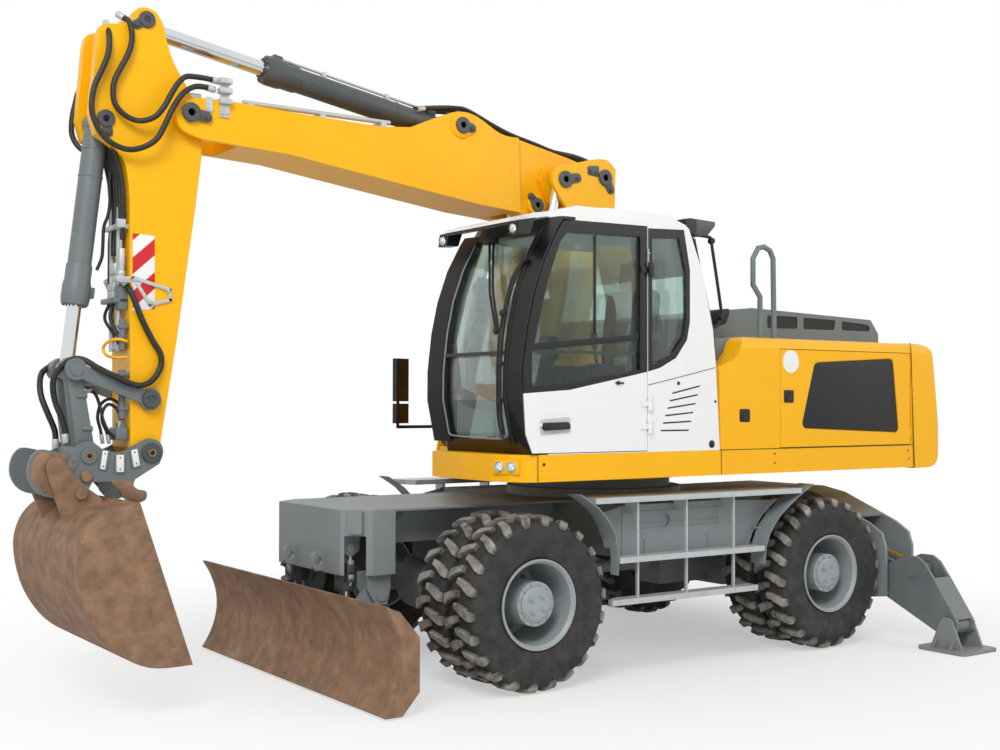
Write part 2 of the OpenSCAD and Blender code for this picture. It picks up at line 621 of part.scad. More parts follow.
module hood_door(side) {
    color(yellow) scale([1, side, 1]) {
        difference() {
            box([door_x0, body_half_w - hood_t, floor_z + 8], [door_x1, body_half_w, door_z1]);
            // Recess of the dark panel with rounded corners
            translate([0, body_half_w + 1, 0]) rotate([90, 0,
                0]) linear_extrude(9) offset(r = 45) offset(delta = -45)
                polygon([[-856, 1570], [-1000, 2040], [-1855, 2085], [-1920, 1528]]);
        }
        for (z = [floor_z + 90, door_z1 - 90]) difference() {
            rod_z(hood_hinge, 9, z - 35, z + 35);
            rod_z(hood_hinge, 5.4, z - 36, z + 36);
        }
    }
}
module hood_door_l() hood_door(1);
module hood_door_r() hood_door(-1);
// Hinge of the lid over the engine bay, behind its rear end
lid_hinge = [-2200, hood_z + 48];
module top_cover() {
    color(arm_grey) {
        difference() {
            plate_y([[-392, hood_z + seat_gap], [-392, 2370], [-420, 2400], [-787, 2436], [-2082, 2397],
                [-2172, 2290], [-2172, hood_z + 12],
                [-2060, hood_z + 12], [-2060, hood_z + seat_gap]], -850, 850);
            box([-2030, -820, hood_z], [-430, 820, 2360]);
            for (x = [-850, -1230, -1600]) box([x - 300, 790, 2330], [x, 860, 2375]);
        }
        for (y = [-600, 600]) difference() {
            union() {
                rod_y(lid_hinge, 26, y - 30, y + 30);
                box([lid_hinge[0], y - 30, lid_hinge[1] - 20], [-2170, y + 30, lid_hinge[1] + 20]);
            }
            rod_y(lid_hinge, 12.4, y - 40, y + 40);
        }
    }
}
module counterweight() {
    color(yellow) intersection() {
        translate([0, 0, skirt_z]) linear_extrude(hood_z - skirt_z + 2) offset(r = 300)
            offset(delta = -300) intersection() {
            circle(r = tail_r, $fn = 96);
            translate([-tail_r, -body_half_w]) square([tail_r - 400, 2 * body_half_w]);
        }
        plate_y([[hood_x0, skirt_z], [-2470, skirt_z], [-tail_r + 25, skirt_z + 25],
            [-tail_r, skirt_z + 80], [-tail_r, 1620], [-2500, 1950],
            [-2440, hood_z - 60], [-2400, hood_z - 15], [-2350, hood_z], [hood_x0, hood_z]],
                -body_half_w, body_half_w);
        plate_x(HOOD_SECTION, -tail_r - 10, hood_x0);
    }
    // Ears and pins of the lid's hinges
    color(arm_grey) for (y = [-600, 600]) {
        for (d = [-42, 42]) plate_y([[lid_hinge[0] - 30, hood_z - 5], [lid_hinge[0] + 24, hood_z - 5],
            [lid_hinge[0] + 14, lid_hinge[1] + 16],
            [lid_hinge[0] - 14, lid_hinge[1] + 16]], y + d - 8, y + d + 8);
        rod_y(lid_hinge, 12, y - 52, y + 52);
    }
}
module engine() {
    color(arm_grey) box([-1900, -550, floor_z + seat_gap], [-1150, 550, 2120]);
}

// Cab outlines in the side view: at its middle, at its sides, and inside its walls
cab_mid_y = (cab_in_y + body_half_w) / 2;
CAB_MID = [[-73, floor_z + seat_gap], [1480, floor_z + seat_gap], [1560, 1560], [1597, 1765],
    [1596, 1950], [1568, 2190], [1522, 2400], [1445, 2610], [1350, 2780],
    [1270, 2905], [1180, cab_top_z - 42], [1060, cab_top_z - 16], [785, cab_top_z], [300, cab_top_z - 4], [235, cab_top_z - 25],
        [196, 2900], [89, 2627], [-11, 2234], [-38, 1995]];
CAB_SIDE = [[-73, floor_z + seat_gap], [1480, floor_z + seat_gap], [1535, 1560], [1558, 1765],
    [1560, 1950], [1528, 2190], [1476, 2410], [1400, 2620], [1308, 2800],
    [1255, 2885], [1200, 2893], [790, 2910], [240, 2914], [205, 2890], [89, 2627], [-11, 2234],
        [-38, 1995]];
CAB_IN = [[-25, floor_z + 45], [1440, floor_z + 45], [1495, 1580], [1512, 1765], [1512, 1950],
    [1482, 2180], [1430, 2390], [1355, 2595], [1265, 2765],
    [1200, 2850], [1100, 2890], [790, 2900], [275, 2900], [135, 2615], [35, 2225], [8, 1995]];
// Panel under the door's glass, the door's frame and its glass
DOOR_LOW = [[568, floor_z + 10], [1476, floor_z + 10], [1526, 1560], [1543, 1804], [1192, 1828],
    [712, 1919], [568, 1947]];
DOOR_UP = [[568, 1947], [712, 1919], [1192, 1828], [1543, 1804], [1549, 1944], [1513, 2184],
    [1454, 2427], [1379, 2624], [1288, 2801],
    [1240, 2862], [568, 2874]];
DOOR_GLASS = [[625, 1958], [712, 1942], [1192, 1866], [1480, 1850], [1481, 2062], [1429, 2247],
    [1360, 2490], [1270, 2729], [1215, 2795], [625, 2808]];
DOOR_GAP = 5;
// Rear side window: its frame and its glass
QUARTER = [[560, 2867], [249, 2880], [196, 2621], [197, 2280], [223, 2161], [320, 2041], [459, 1974],
    [560, 1949]];
QUARTER_GLASS = [[525, 2807], [293, 2824], [236, 2610], [232, 2300], [254, 2183], [345, 2075],
    [470, 2012], [525, 1998]];
SIDE_GLASS = [[80, 1760], [1180, 1760], [1400, 1850], [1440, 2150], [1360, 2450], [1230, 2800],
    [240, 2820], [80, 2250]];
// Outer line of the windscreen from its lower edge up
SCREEN = [[1548, 1530], [1560, 1560], [1597, 1765], [1596, 1950], [1568, 2190], [1522, 2400],
    [1445, 2610], [1350, 2780]];
module cab_outer() {
    hull() {
        plate_y(CAB_MID, cab_in_y + 110, body_half_w - 110);
        plate_y(CAB_SIDE, cab_in_y, body_half_w);
    }
}
// Door opening through the near wall
module door_opening() {
    plate_y([[568 - DOOR_GAP, floor_z + 5], [1480, floor_z + 5], [1531, 1555], [1549, 1804],
        [1555, 1946], [1519, 2188], [1460, 2431], [1385, 2628],
        [1294, 2805], [1246, 2870], [568 - DOOR_GAP, 2880]], body_half_w - cab_t - 15, body_half_w + 10);
}
// Underside of the visor where it meets the roof
VISOR_Z = 2893;
// Share of the cab that is painted black: the front pillars, the header and the sill
module front_zone() {
    plate_y([[1400, skirt_z], [1900, skirt_z], [1900, 2890], [1150, 2890], [1150, 2300]],
        0, body_half_w + 20);
}
module cab_shell() {
    color(white) {
        difference() {
            cab_outer();
            plate_y(CAB_IN, cab_in_y + cab_t, body_half_w - cab_t);
            front_zone();
            door_opening();
            // Rear side, right side and rear windows
            plate_y(QUARTER, body_half_w - cab_t - 10, body_half_w + 10);
            plate_y(SIDE_GLASS, cab_in_y - 10, cab_in_y + cab_t + 10);
            box([-70, cab_in_y + 110, 2080], [150, body_half_w - 110, 2600]);
            // Slanted louvres behind the door
            for (i = [0:5]) plate_y([[105 + 20 * i, 1856 - 58 * i], [352 + 20 * i, 1806 - 48 * i],
                [354 + 20 * i, 1816 - 48 * i], [107 + 20 * i, 1866 - 58 * i]],
                body_half_w - 8, body_half_w + 5);
        }
        // Visor that carries the roof on over the windscreen
        plate_y([[1040, 2968], [1180, 2944], [1400, 2908], [1572, 2860], [1575, 2842], [1300, VISOR_Z],
            [1040, VISOR_Z]],
            cab_in_y + 100, body_half_w - 100);
        // Roof hatch
        box([420, cab_mid_y - 280, cab_top_z - 30], [1000, cab_mid_y + 280, cab_top_z + 8]);
    }
    color(black) for (z = [1600, 1745]) hinge_half(z);
}
cab_hinge = [556, body_half_w + 15];
// The half of a door hinge that stays on the cab, with its pin
module hinge_half(z) {
    for (d = [-33, 33]) {
        rod_z(cab_hinge, 13, z + d - 12, z + d + 12);
        box([cab_hinge[0] - 20, body_half_w - 1, z + d - 11], [cab_hinge[0] - 1, cab_hinge[1], z + d + 11]);
    }
    rod_z(cab_hinge, 7, z - 40, z + 40);
    box([cab_hinge[0] - 40, body_half_w - 1, z - 44], [cab_hinge[0] - 15, body_half_w + 7, z + 44]);
}
// The half that turns with the door: a knuckle round the pin and a leaf clear of the cab
module hinge_leaf(z) {
    difference() {
        union() {
            rod_z(cab_hinge, 13, z - 20, z + 20);
            box([cab_hinge[0] + 1, body_half_w + 1, z - 19], [620, body_half_w + 7, z + 19]);
            box([cab_hinge[0] + 1, body_half_w + 1, z - 19], [cab_hinge[0] + 10, cab_hinge[1], z + 19]);
            box([572, body_half_w - 1, z - 18], [618, body_half_w + 5, z + 18]);
        }
        rod_z(cab_hinge, 7.4, z - 30, z + 30);
    }
}
module cab_frame() {
    color(black) {
        difference() {
            intersection() {
                cab_outer();
                front_zone();
            }
            plate_y(CAB_IN, cab_in_y + cab_t, body_half_w - cab_t);
            door_opening();
            plate_y(SIDE_GLASS, cab_in_y - 10, cab_in_y + cab_t + 10);
            // Windscreen opening
            plate_y([[1300, floor_z + 85], [1800, floor_z + 85], [1800, 2800], [1180, 2800]],
                cab_in_y + 60, body_half_w - 115);
        }
        // Frame of the rear side window
        difference() {
            plate_y(QUARTER, body_half_w - 30, body_half_w);
            plate_y(QUARTER_GLASS, body_half_w - 40, body_half_w + 10);
        }
        // Bar across the windscreen
        box([1563.8, cab_in_y + 59, 2040], [1590, body_half_w - 114, 2062]);
        hinge_half(2600);
    }
}
module cab_glass() {
    color("#8FA3A8") {
        plate_y(concat([for (p = SCREEN) [p[0] - 22, p[1]]],
            [for (i = [len(SCREEN) - 1:-1:0]) [SCREEN[i][0] - 22 - glass_t, SCREEN[i][1]]]),
            cab_in_y + 60, body_half_w - 115);
        plate_y(QUARTER_GLASS, body_half_w - 20, body_half_w - 20 + glass_t);
        plate_y([for (p = SIDE_GLASS) p], cab_in_y + 10, cab_in_y + 10 + glass_t);
        plate_y([[-16, 2080], [1, 2234], [94, 2600], [102, 2600], [9, 2234], [-8, 2080]],
            cab_in_y + 110, body_half_w - 110);
    }
}
module cab_door() {
    color(white) {
        plate_y(DOOR_LOW, body_half_w - cab_t + 3, body_half_w);
        // Knuckles of the hinges
        for (z = [1600, 1745]) hinge_leaf(z);
        // Lip over the recess of the handle
        box([1200, body_half_w - 1, 1606], [1420, body_half_w + 12, 1624]);
    }
}
module door_frame() {
    color(black) {
        difference() {
            plate_y(DOOR_UP, body_half_w - cab_t + 3, body_half_w);
            plate_y(DOOR_GLASS, body_half_w - 100, body_half_w + 10);
        }
        hinge_leaf(2600);
        // Bar across the door's glass
        box([624, body_half_w - 36, 2052], [1482, body_half_w - 26, 2072]);
    }
}
module door_glass() {
    color("#8FA3A8") plate_y(DOOR_GLASS, body_half_w - 25, body_half_w - 25 + glass_t);
}
module cab_interior() {
    color(black) {
        // Seat on its base, consoles and steering column
        box([250, cab_mid_y - 180, floor_z + 45 + seat_gap], [650, cab_mid_y + 180, 1750]);
        box([240, cab_mid_y - 230, 1749], [780, cab_mid_y + 210, 1880]);
        plate_y([[240, 1870], [380, 1870], [330, 2500], [220, 2500]], cab_mid_y - 210, cab_mid_y + 190);
        plate_y([[240, 2499], [310, 2499], [290, 2700], [210, 2700]], cab_mid_y - 130, cab_mid_y + 110);
        for (y = [cab_mid_y - 315, cab_mid_y + 225]) {
            box([350, y, 1700], [900, y + 80, 2000]);
            box([350, y, floor_z + 45 + seat_gap], [450, y + 80, 1701]);
        }
        along_side([1290, floor_z + 56], [1150, 2080], cab_mid_y) rotate([0, 90, 0]) cylinder(r = 45,
            h = 600);
        along_side([1290, floor_z + 56], [1150, 2080], cab_mid_y) translate([600, 0, 0]) rotate([0, 90,
            0]) cylinder(r = 190, h = 30);
        // Foot plate of the column
        box([1180, cab_mid_y - 150, floor_z + 45 + seat_gap], [1390, cab_mid_y + 150, floor_z + 70]);
    }
}
// A bent tube through points of the side view
module bent_tube(points, r, y) {
    for (i = [0:len(points) - 2]) along_side(points[i], points[i + 1],
        y) rotate([0, 90, 0]) cylinder(r = r, h = dist(points[i], points[i + 1]));
    for (i = [1:len(points) - 2]) translate([points[i][0], y, points[i][1]]) sphere(r = r + 0.6);
}
module cab_fittings() {
    color(black) {
        // Bar under the visor, lamps at its ends and the lamp behind the roof
        plate_y([[1440, 2867 - seat_gap], [1562, 2844.4 - seat_gap], [1562, 2826], [1440, 2848]],
            cab_in_y + 20, body_half_w - 20);
        for (y = [cab_in_y + 20, body_half_w - 120]) plate_y([[1450, 2850], [1560, 2832], [1572, 2760],
            [1480, 2765]], y, y + 100);
        box([90, 1010, 2880], [187.9, 1200, 2965]);
        // Two mirrors on an arm from the front of the tank housing
        for (z = [[1592, 1739], [1756, 2075]])
            plate_z([[1188, -841], [1200, -879], [1072, -919], [1060, -881]], z[0], z[1]);
        rod_x([-905, 1565], 12, tank_x1, 1146);
        rod_z([1140, -905], 12, 1565, 1940);
        // Grab loop on the hood
        bent_tube([[-556, hood_z + 0.6], [-557, 2486], [-489, 2566], [-489, 2750], [-540, 2825],
            [-597, 2837],
            [-655, 2815], [-687, 2760], [-695, hood_z + 0.6]], 17, 1150);
        // Hand rail behind the cab door
        bent_tube([[163, 2848], [105, 2830], [70, 2700], [-60, 2240], [-75, 2120], [-34, 2090.2]],
            12, body_half_w - 60);
    }
}

// Base boom: two side plates, a rear web, pin tubes and the cheeks of its head
BASE_PLATE = [[20, 3250], [40, 2750], [180, 2150], [300, 1800], [340, 1670], [500, 1660], [570, 1760],
    [700, 2120], [690, 2300],
    [640, 2750], [480, 3120], [580, 3330], [540, 3420], [420, 3440], [230, 3490], [90, 3500], [10, 3440]];
module base_boom() {
    color(yellow) difference() {
        union() {
            mirrored_arm() plate_y(BASE_PLATE, arm_y + cheek_in, arm_y + cheek_in + cheek_t);
            mirrored_arm() plate_y(concat([[20, 3100], [420, 3080]],
                smooth([[530, 3210], [578, 3290], [576, 3370], [520, 3426], [420, 3440], [230, 3490],
                    [90, 3500], [10, 3440]], 3)),
                arm_y + hoist_dy + 46, arm_y + hoist_dy + 74);
            mirrored_arm() plate_y([[20, 3110], [60, 3110], [60, 3480], [20, 3430]],
                arm_y + cheek_in, arm_y + hoist_dy + 74);
            plate_y([[50, 2760], [300, 1800], [330, 1810], [80, 2770]],
                arm_y - cheek_in - 5, arm_y + cheek_in + 5);
            rod_y(FOOT, 110, arm_y - boom_half_w - 20, arm_y + boom_half_w + 20);
            mirrored_arm() rod_y(ADJUST_BASE, 80, arm_y + 110, arm_y + cheek_in + 5);
        }
        rod_y(FOOT, pin_r + pin_gap, arm_y - 500, arm_y + 500);
        rod_y(KNUCKLE, pin_r, arm_y - 600, arm_y + 600);
    }
    color(arm_grey) {
        rod_y(KNUCKLE, pin_r, arm_y - hoist_dy - 74, arm_y + hoist_dy + 74);
        rod_y(ADJUST_BASE, small_pin_r, arm_y - 120, arm_y + 120);
    }
}
module hoist_barrels() {
    color(arm_grey) mirrored_arm() along_side(HOIST_BASE, HOIST_EYE, arm_y + hoist_dy) barrel_shape(1180,
        hoist_r, 72, small_pin_r);
}
module hoist_rods() {
    color(chrome) mirrored_arm() along_side(HOIST_BASE, HOIST_EYE, arm_y + hoist_dy) rod_shape(560,
        dist(HOIST_BASE, HOIST_EYE), hoist_r, 38);
}
// Outline of the upper boom in the side view: hump over the stick cylinder's pin, top edge and round tip
HUMP = smooth([[760, 3610], [915, 3622], [1110, 3715], [1240, 3735], [1370, 3700], [1640, 3580]], 4);
BOOM_TOP = [[1875, 3555], [2450, 3566], [2910, 3582]];
BOOM_TIP = smooth([[3090, 3580], [3190, 3562], [3262, 3500], [3264, 3420], [3210, 3362], [3100, 3330]], 4);
module upper_boom() {
    head_half = cheek_in - 4;
    color(yellow) difference() {
        union() {
            plate_y(concat(HUMP, BOOM_TOP, BOOM_TIP, [[2521, 3300], [1720, 3194], [1080, 3111],
                [740, 3085]]),
                arm_y - boom_half_w, arm_y + boom_half_w);
            plate_y([[0, 3330], [40, 3460], [300, 3520], [770, 3610], [770, 3080], [560, 3060],
                [300, 3200], [110, 3240]],
                arm_y - head_half, arm_y + head_half);
        }
        rod_y(KNUCKLE, pin_r + pin_gap, arm_y - 600, arm_y + 600);
        rod_y(STICK_PIN, pin_r, arm_y - 600, arm_y + 600);
        // Slots for the stick, its cylinder and the adjusting cylinder
        box([2860, arm_y - stick_half_w - 34, 3200], [3400, arm_y + stick_half_w + 34, 3700]);
        box([1100, arm_y - 85, 3560], [1700, arm_y + 85, 3900]);
        box([440, arm_y - 100, 2900], [780, arm_y + 100, 3270]);
    }
    color(arm_grey) {
        rod_y(STICK_PIN, pin_r, arm_y - boom_half_w - 12, arm_y + boom_half_w + 12);
        rod_y(STICK_BASE, small_pin_r, arm_y - 150, arm_y + 150);
    }
}
module adjust_barrel() {
    color(arm_grey) along_side(ADJUST_BASE, ADJUST_EYE, arm_y) barrel_shape(690, adjust_r, 95, small_pin_r);
}
module adjust_rod() {
    color(chrome) along_side(ADJUST_BASE, ADJUST_EYE, arm_y) rod_shape(170, dist(ADJUST_BASE,
        ADJUST_EYE), adjust_r, 75);
}
// Outline of the stick in the side view, from its top down the back, round the foot and up the front
STICK_BACK = smooth([[3370, 4070], [3323, 3996], [3304, 3909], [3259, 3783], [3164, 3628], [3095, 3480],
    [3079, 3245]], 4);
STICK_FOOT = smooth([[3326, 1460], [3336, 1395], [3400, 1366], [3464, 1395], [3506, 1481]], 4);
STICK_NOSE = smooth([[3521, 2932], [3534, 3070], [3562, 3172], [3631, 3246], [3725, 3300]], 4);
STICK_HEAD = smooth([[3758, 3420], [3735, 3680], [3712, 3902], [3666, 3950], [3530, 3979], [3490, 4066],
    [3430, 4088]], 4);
module stick() {
    color(yellow) difference() {
        plate_y(concat(STICK_BACK, [[3121, 2895], [3229, 2120], [3323, 1525]],
            STICK_FOOT, [[3517, 2346]], STICK_NOSE, STICK_HEAD),
            arm_y - stick_half_w, arm_y + stick_half_w);
        // Slots for the two cylinders
        box([3525, arm_y - 90, 3180], [3900, arm_y + 90, 4200]);
        box([3250, arm_y - 62, 3880], [3600, arm_y + 62, 4200]);
        rod_y(STICK_PIN, pin_r + pin_gap, arm_y - 600, arm_y + 600);
        rod_y(COUPLER_PIN, pin_r, arm_y - 600, arm_y + 600);
        rod_y(LEVER_PIN, small_pin_r, arm_y - 600, arm_y + 600);
    }
    color(arm_grey) {
        rod_y(COUPLER_PIN, pin_r, arm_y - 200, arm_y + 200);
        rod_y(LEVER_PIN, small_pin_r, arm_y - 200, arm_y + 200);
        rod_y(BUCKET_BASE, small_pin_r, arm_y - 120, arm_y + 120);
    }
}
module stick_barrel() {
    color(arm_grey) along_side(STICK_BASE, STICK_EYE, arm_y) barrel_shape(1380, stick_cyl_r, 78,
        small_pin_r);
}
module stick_rod() {
    color(chrome) along_side(STICK_BASE, STICK_EYE, arm_y) rod_shape(780, dist(STICK_BASE, STICK_EYE),
        stick_cyl_r, 55);
}
module bucket_barrel() {
    color(arm_grey) along_side(BUCKET_BASE, LINK_TOP, arm_y) barrel_shape(1080, bucket_cyl_r, 84,
        small_pin_r);
}
module bucket_rod() {
    color(chrome) along_side(BUCKET_BASE, LINK_TOP, arm_y) rod_shape(620, dist(BUCKET_BASE, LINK_TOP),
        bucket_cyl_r, 45);
}
module levers() {
    color(arm_grey) {
        difference() {
            mirrored_arm() bar_y(LEVER_PIN, LINK_TOP, 40, 65, 62, arm_y + lever_in, arm_y + lever_in + 26);
            rod_y(LEVER_PIN, small_pin_r + pin_gap, arm_y - 600, arm_y + 600);
        }
        mirrored_arm() rod_y(LINK_TOP, small_pin_r, arm_y + 50, arm_y + lever_in + 32);
        // Cross tube between the two levers
        rod_y(LEVER_PIN + 0.62 * (LINK_TOP - LEVER_PIN), 26, arm_y - lever_in - 10, arm_y + lever_in + 10);
    }
}
module link() {
    color(arm_grey) difference() {
        union() {
            mirrored_arm() bar_y(LINK_TOP, LINK_LOW, 45, 72, 60, arm_y + 60, arm_y + 120);
            rod_y(LINK_LOW, 70, arm_y - 160, arm_y + 160);
        }
        rod_y(LINK_TOP, small_pin_r + pin_gap, arm_y - 600, arm_y + 600);
    }
}
module coupler() {
    color(arm_grey) difference() {
        union() {
            mirrored_arm() plate_y(concat(
                smooth([[3345, 1385], [3322, 1450], [3340, 1508], [3395, 1534], [3450, 1518],
                    [3560, 1462], [3630, 1462], [3690, 1482]], 3),
                smooth([[3735, 1517], [3775, 1524], [3815, 1508], [3870, 1458], [3950, 1468],
                    [4040, 1480], [4092, 1420], [4098, 1320],
                    [4040, 1235], [3930, 1200], [3800, 1180]], 3),
                [[3740, 1290], [3600, 1290]],
                smooth([[3572, 1215], [3530, 1172], [3470, 1160], [3425, 1180], [3424, 1225],
                    [3470, 1238], [3500, 1262], [3490, 1298]], 3)),
                arm_y + 170, arm_y + 200);
            box([3640, arm_y - 170, 1290], [3780, arm_y + 170, 1325]);
        }
        rod_y(COUPLER_PIN, pin_r + pin_gap, arm_y - 600, arm_y + 600);
        for (p = [HOOK_PIN, LOCK_PIN]) rod_y(p, 32 + pin_gap, arm_y - 600, arm_y + 600);
    }
}
module bucket() {
    outer = smooth([[3310, 274], [3560, 285], [3760, 400], [3900, 610], [3955, 850], [3930, 1010],
        [3850, 1120], [3740, 1165], [3620, 1195]], 5);
    inner = smooth([[3620, 1170], [3735, 1140], [3835, 1097], [3906, 1000], [3930, 850], [3878, 620],
        [3745, 420], [3552, 310], [3320, 299]], 5);
    color(rust) {
        plate_y(concat(outer, inner), arm_y - bucket_half_w, arm_y + bucket_half_w);
        mirrored_arm() plate_y(outer, arm_y + bucket_half_w - bucket_t, arm_y + bucket_half_w);
        // Hooks that take the coupler's two pins
        mirrored_arm() plate_y(concat([[3700, 1150], [3700, 1200], [3800, 1275]],
            smooth([[3890, 1375], [3920, 1424], [3960, 1440], [3998, 1420], [4012, 1370], [3990, 1290]],
                3), [[3900, 1050]]),
            arm_y + 205, arm_y + 240);
        for (p = [HOOK_PIN, LOCK_PIN]) rod_y(p, 32, arm_y - 240, arm_y + 240);
    }
}
// Height of the upper boom's top at a given x
function boom_top(x) = seat_gap + lookup(x, concat([[1640, 3580]], BOOM_TOP));
module boom_pipes() {
    color(black) {
        mirrored_arm() rod_x([arm_y + 130, 3610], 16, 1750, 2800);
        for (x = [1790, 2240, 2740])
            plate_y([[x, boom_top(x)], [x + 40, boom_top(x + 40)], [x + 40, 3606], [x, 3606]],
                arm_y - 160, arm_y + 160);
    }
}
// Forward face of the stick at a given height
function stick_front(z) = seat_gap + lookup(z, [[1481, 3510], [2346, 3517], [2932, 3521]]);
module stick_pipes() {
    color(black) {
        mirrored_arm() rod_z([3550, arm_y + 60], 16, 2050, 2900);
        for (z = [2060, 2430, 2800])
            plate_y([[stick_front(z), z], [3546, z], [3546, z + 40], [stick_front(z + 40), z + 40]],
                arm_y - 90, arm_y + 90);
    }
}

chassis();
front_axle();
rear_axle();
steps();
side_boxes();
stabiliser_housing();
knuckle_l();
knuckle_r();
tyres_fl();
tyres_fr();
tyres_rl();
tyres_rr();
rims_fl();
rims_fr();
rims_rl();
rims_rr();
blade();
blade_arms();
blade_barrels();
blade_rods();
leg_l();
leg_r();
foot_l();
foot_r();
leg_barrel_l();
leg_barrel_r();
leg_rod_l();
leg_rod_r();
deck();
hood();
top_cover();
counterweight();
engine();
hood_door_l();
hood_door_r();
cab_shell();
cab_frame();
cab_glass();
cab_interior();
cab_fittings();
cab_door();
door_frame();
door_glass();
base_boom();
hoist_barrels();
hoist_rods();
upper_boom();
adjust_barrel();
adjust_rod();
stick();
stick_barrel();
stick_rod();
bucket_barrel();
bucket_rod();
levers();
link();
coupler();
bucket();
boom_pipes();
stick_pipes();
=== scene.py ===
"""Wheeled excavator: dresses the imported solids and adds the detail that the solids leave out.

All lengths are metres and all points are (x, y, z) in the frame of the record: x forward, y to the left, z up
from the ground. Points of the side view are (x, z). Lines and outlines follow the photograph where it shows
them. What it hides, such as the right side, the back and the underside, is guessed.
"""

import json
import logging
import math
from dataclasses import dataclass
from enum import Enum

import bmesh
import bpy
from mathutils import Euler, Matrix, Vector

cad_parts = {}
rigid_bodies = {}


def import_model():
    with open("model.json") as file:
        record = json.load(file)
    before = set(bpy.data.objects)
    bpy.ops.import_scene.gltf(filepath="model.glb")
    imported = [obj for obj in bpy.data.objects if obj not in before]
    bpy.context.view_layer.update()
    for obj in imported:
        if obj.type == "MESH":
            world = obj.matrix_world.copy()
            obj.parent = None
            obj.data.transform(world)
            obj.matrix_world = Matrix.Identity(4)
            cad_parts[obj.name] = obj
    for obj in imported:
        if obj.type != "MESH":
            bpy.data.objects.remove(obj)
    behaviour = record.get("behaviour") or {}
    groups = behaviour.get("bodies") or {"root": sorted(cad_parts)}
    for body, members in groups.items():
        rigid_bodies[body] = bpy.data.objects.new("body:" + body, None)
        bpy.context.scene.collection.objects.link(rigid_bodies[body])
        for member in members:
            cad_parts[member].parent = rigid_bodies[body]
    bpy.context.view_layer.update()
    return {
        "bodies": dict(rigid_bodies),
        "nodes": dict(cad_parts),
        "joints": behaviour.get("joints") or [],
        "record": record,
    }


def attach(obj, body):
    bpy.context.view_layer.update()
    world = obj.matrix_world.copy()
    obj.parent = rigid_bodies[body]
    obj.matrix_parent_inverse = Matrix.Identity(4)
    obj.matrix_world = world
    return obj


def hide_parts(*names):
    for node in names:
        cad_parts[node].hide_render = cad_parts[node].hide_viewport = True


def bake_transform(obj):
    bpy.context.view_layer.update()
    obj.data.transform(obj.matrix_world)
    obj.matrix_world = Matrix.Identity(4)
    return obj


LOG = logging.getLogger("excavator")

Point = tuple[float, float, float] | Vector
Point2 = tuple[float, float]
Range = tuple[float, float]
Materials = dict[str, bpy.types.Material]

# Middle plane of the arm, and outer face of the cab and the hood, across the machine
ARM_Y = -0.12
SIDE_Y = 1.25

# Pins of the arm in the side view, where the part's source has them
STICK_PIN = (3.180, 3.480)
STICK_CYLINDER_FOOT = (1.240, 3.640)
STICK_CYLINDER_EYE = (3.427, 4.014)
ADJUST_CYLINDER_FOOT = (0.560, 2.180)
ADJUST_CYLINDER_EYE = (0.605, 3.150)
HOIST_CYLINDER_FOOT = (0.950, 1.500)
HOIST_CYLINDER_EYE = (0.470, 3.325)
BOOM_PIN = (0.110, 3.370)
BUCKET_CYLINDER_FOOT = (3.667, 3.396)
BUCKET_CYLINDER_EYE = (3.835, 1.935)
LEVER_PIN = (3.400, 1.765)
BUCKET_PIN = (3.395, 1.450)
# Middle of the caps over the link's low pin, 7 mm behind the pin of the part's source
LINK_CAP = (3.761, 1.440)


def to_linear(hex_colour: str) -> tuple[float, float, float, float]:
    """Turns an sRGB hex colour into the linear values a shader socket takes.

    Args:
        hex_colour: Colour such as "#FFC20E".

    Returns:
        Red, green, blue and a full alpha.
    """
    channels = [int(hex_colour[i:i + 2], 16) / 255 for i in (1, 3, 5)]
    linear = [c / 12.92 if c <= 0.04045 else ((c + 0.055) / 1.055) ** 2.4 for c in channels]
    return (linear[0], linear[1], linear[2], 1.0)


def add_node(
    tree: bpy.types.NodeTree, kind: str, settings: dict | None = None, links: dict | None = None
) -> bpy.types.Node:
    """Adds one node, sets its properties and sockets and links its inputs.

    Args:
        tree: Node tree that takes the node.
        kind: Blender's name of the node type.
        settings: Property names, or input names or numbers, with their values.
        links: Input names or numbers with the output sockets that feed them.

    Returns:
        The new node.
    """
    node = tree.nodes.new(kind)
    for key, value in (settings or {}).items():
        if isinstance(key, str) and hasattr(node, key):
            setattr(node, key, value)
        else:
            node.inputs[key].default_value = value
    for key, socket in (links or {}).items():
        tree.links.new(socket, node.inputs[key])
    return node


def math_node(
    tree: bpy.types.NodeTree, operation: str, first: bpy.types.NodeSocket, second: bpy.types.NodeSocket
) -> bpy.types.NodeSocket:
    """Joins two values by an operation.

    Args:
        tree: Node tree that takes the node.
        operation: Blender's name of the operation.
        first: First value.
        second: Second value.

    Returns:
        Socket of the result.
    """
    return add_node(tree, "ShaderNodeMath", {"operation": operation}, {0: first, 1: second}).outputs[0]


def map_range(
    tree: bpy.types.NodeTree, value: bpy.types.NodeSocket, source: Range, target: Range
) -> bpy.types.NodeSocket:
    """Maps a value from one range to another and holds it at both ends.

    Args:
        tree: Node tree that takes the node.
        value: Value to map.
        source: Start and end of its own range.
        target: What start and end become.

    Returns:
        Socket of the result.
    """
    limits = {"From Min": source[0], "From Max": source[1], "To Min": target[0], "To Max": target[1]}
    return add_node(tree, "ShaderNodeMapRange", limits, {0: value}).outputs[0]


def lay_over(
    tree: bpy.types.NodeTree, share: bpy.types.NodeSocket, paint: bpy.types.NodeSocket, colour: str
) -> bpy.types.NodeSocket:
    """Lays a colour over the paint by a share.

    Args:
        tree: Node tree that takes the node.
        share: Share of the new colour.
        paint: Colour below it.
        colour: The new colour as sRGB hex.

    Returns:
        Socket of the mixed colour.
    """
    return add_node(
        tree, "ShaderNodeMix", {"data_type": "RGBA", 7: to_linear(colour)}, {0: share, 6: paint}
    ).outputs[2]


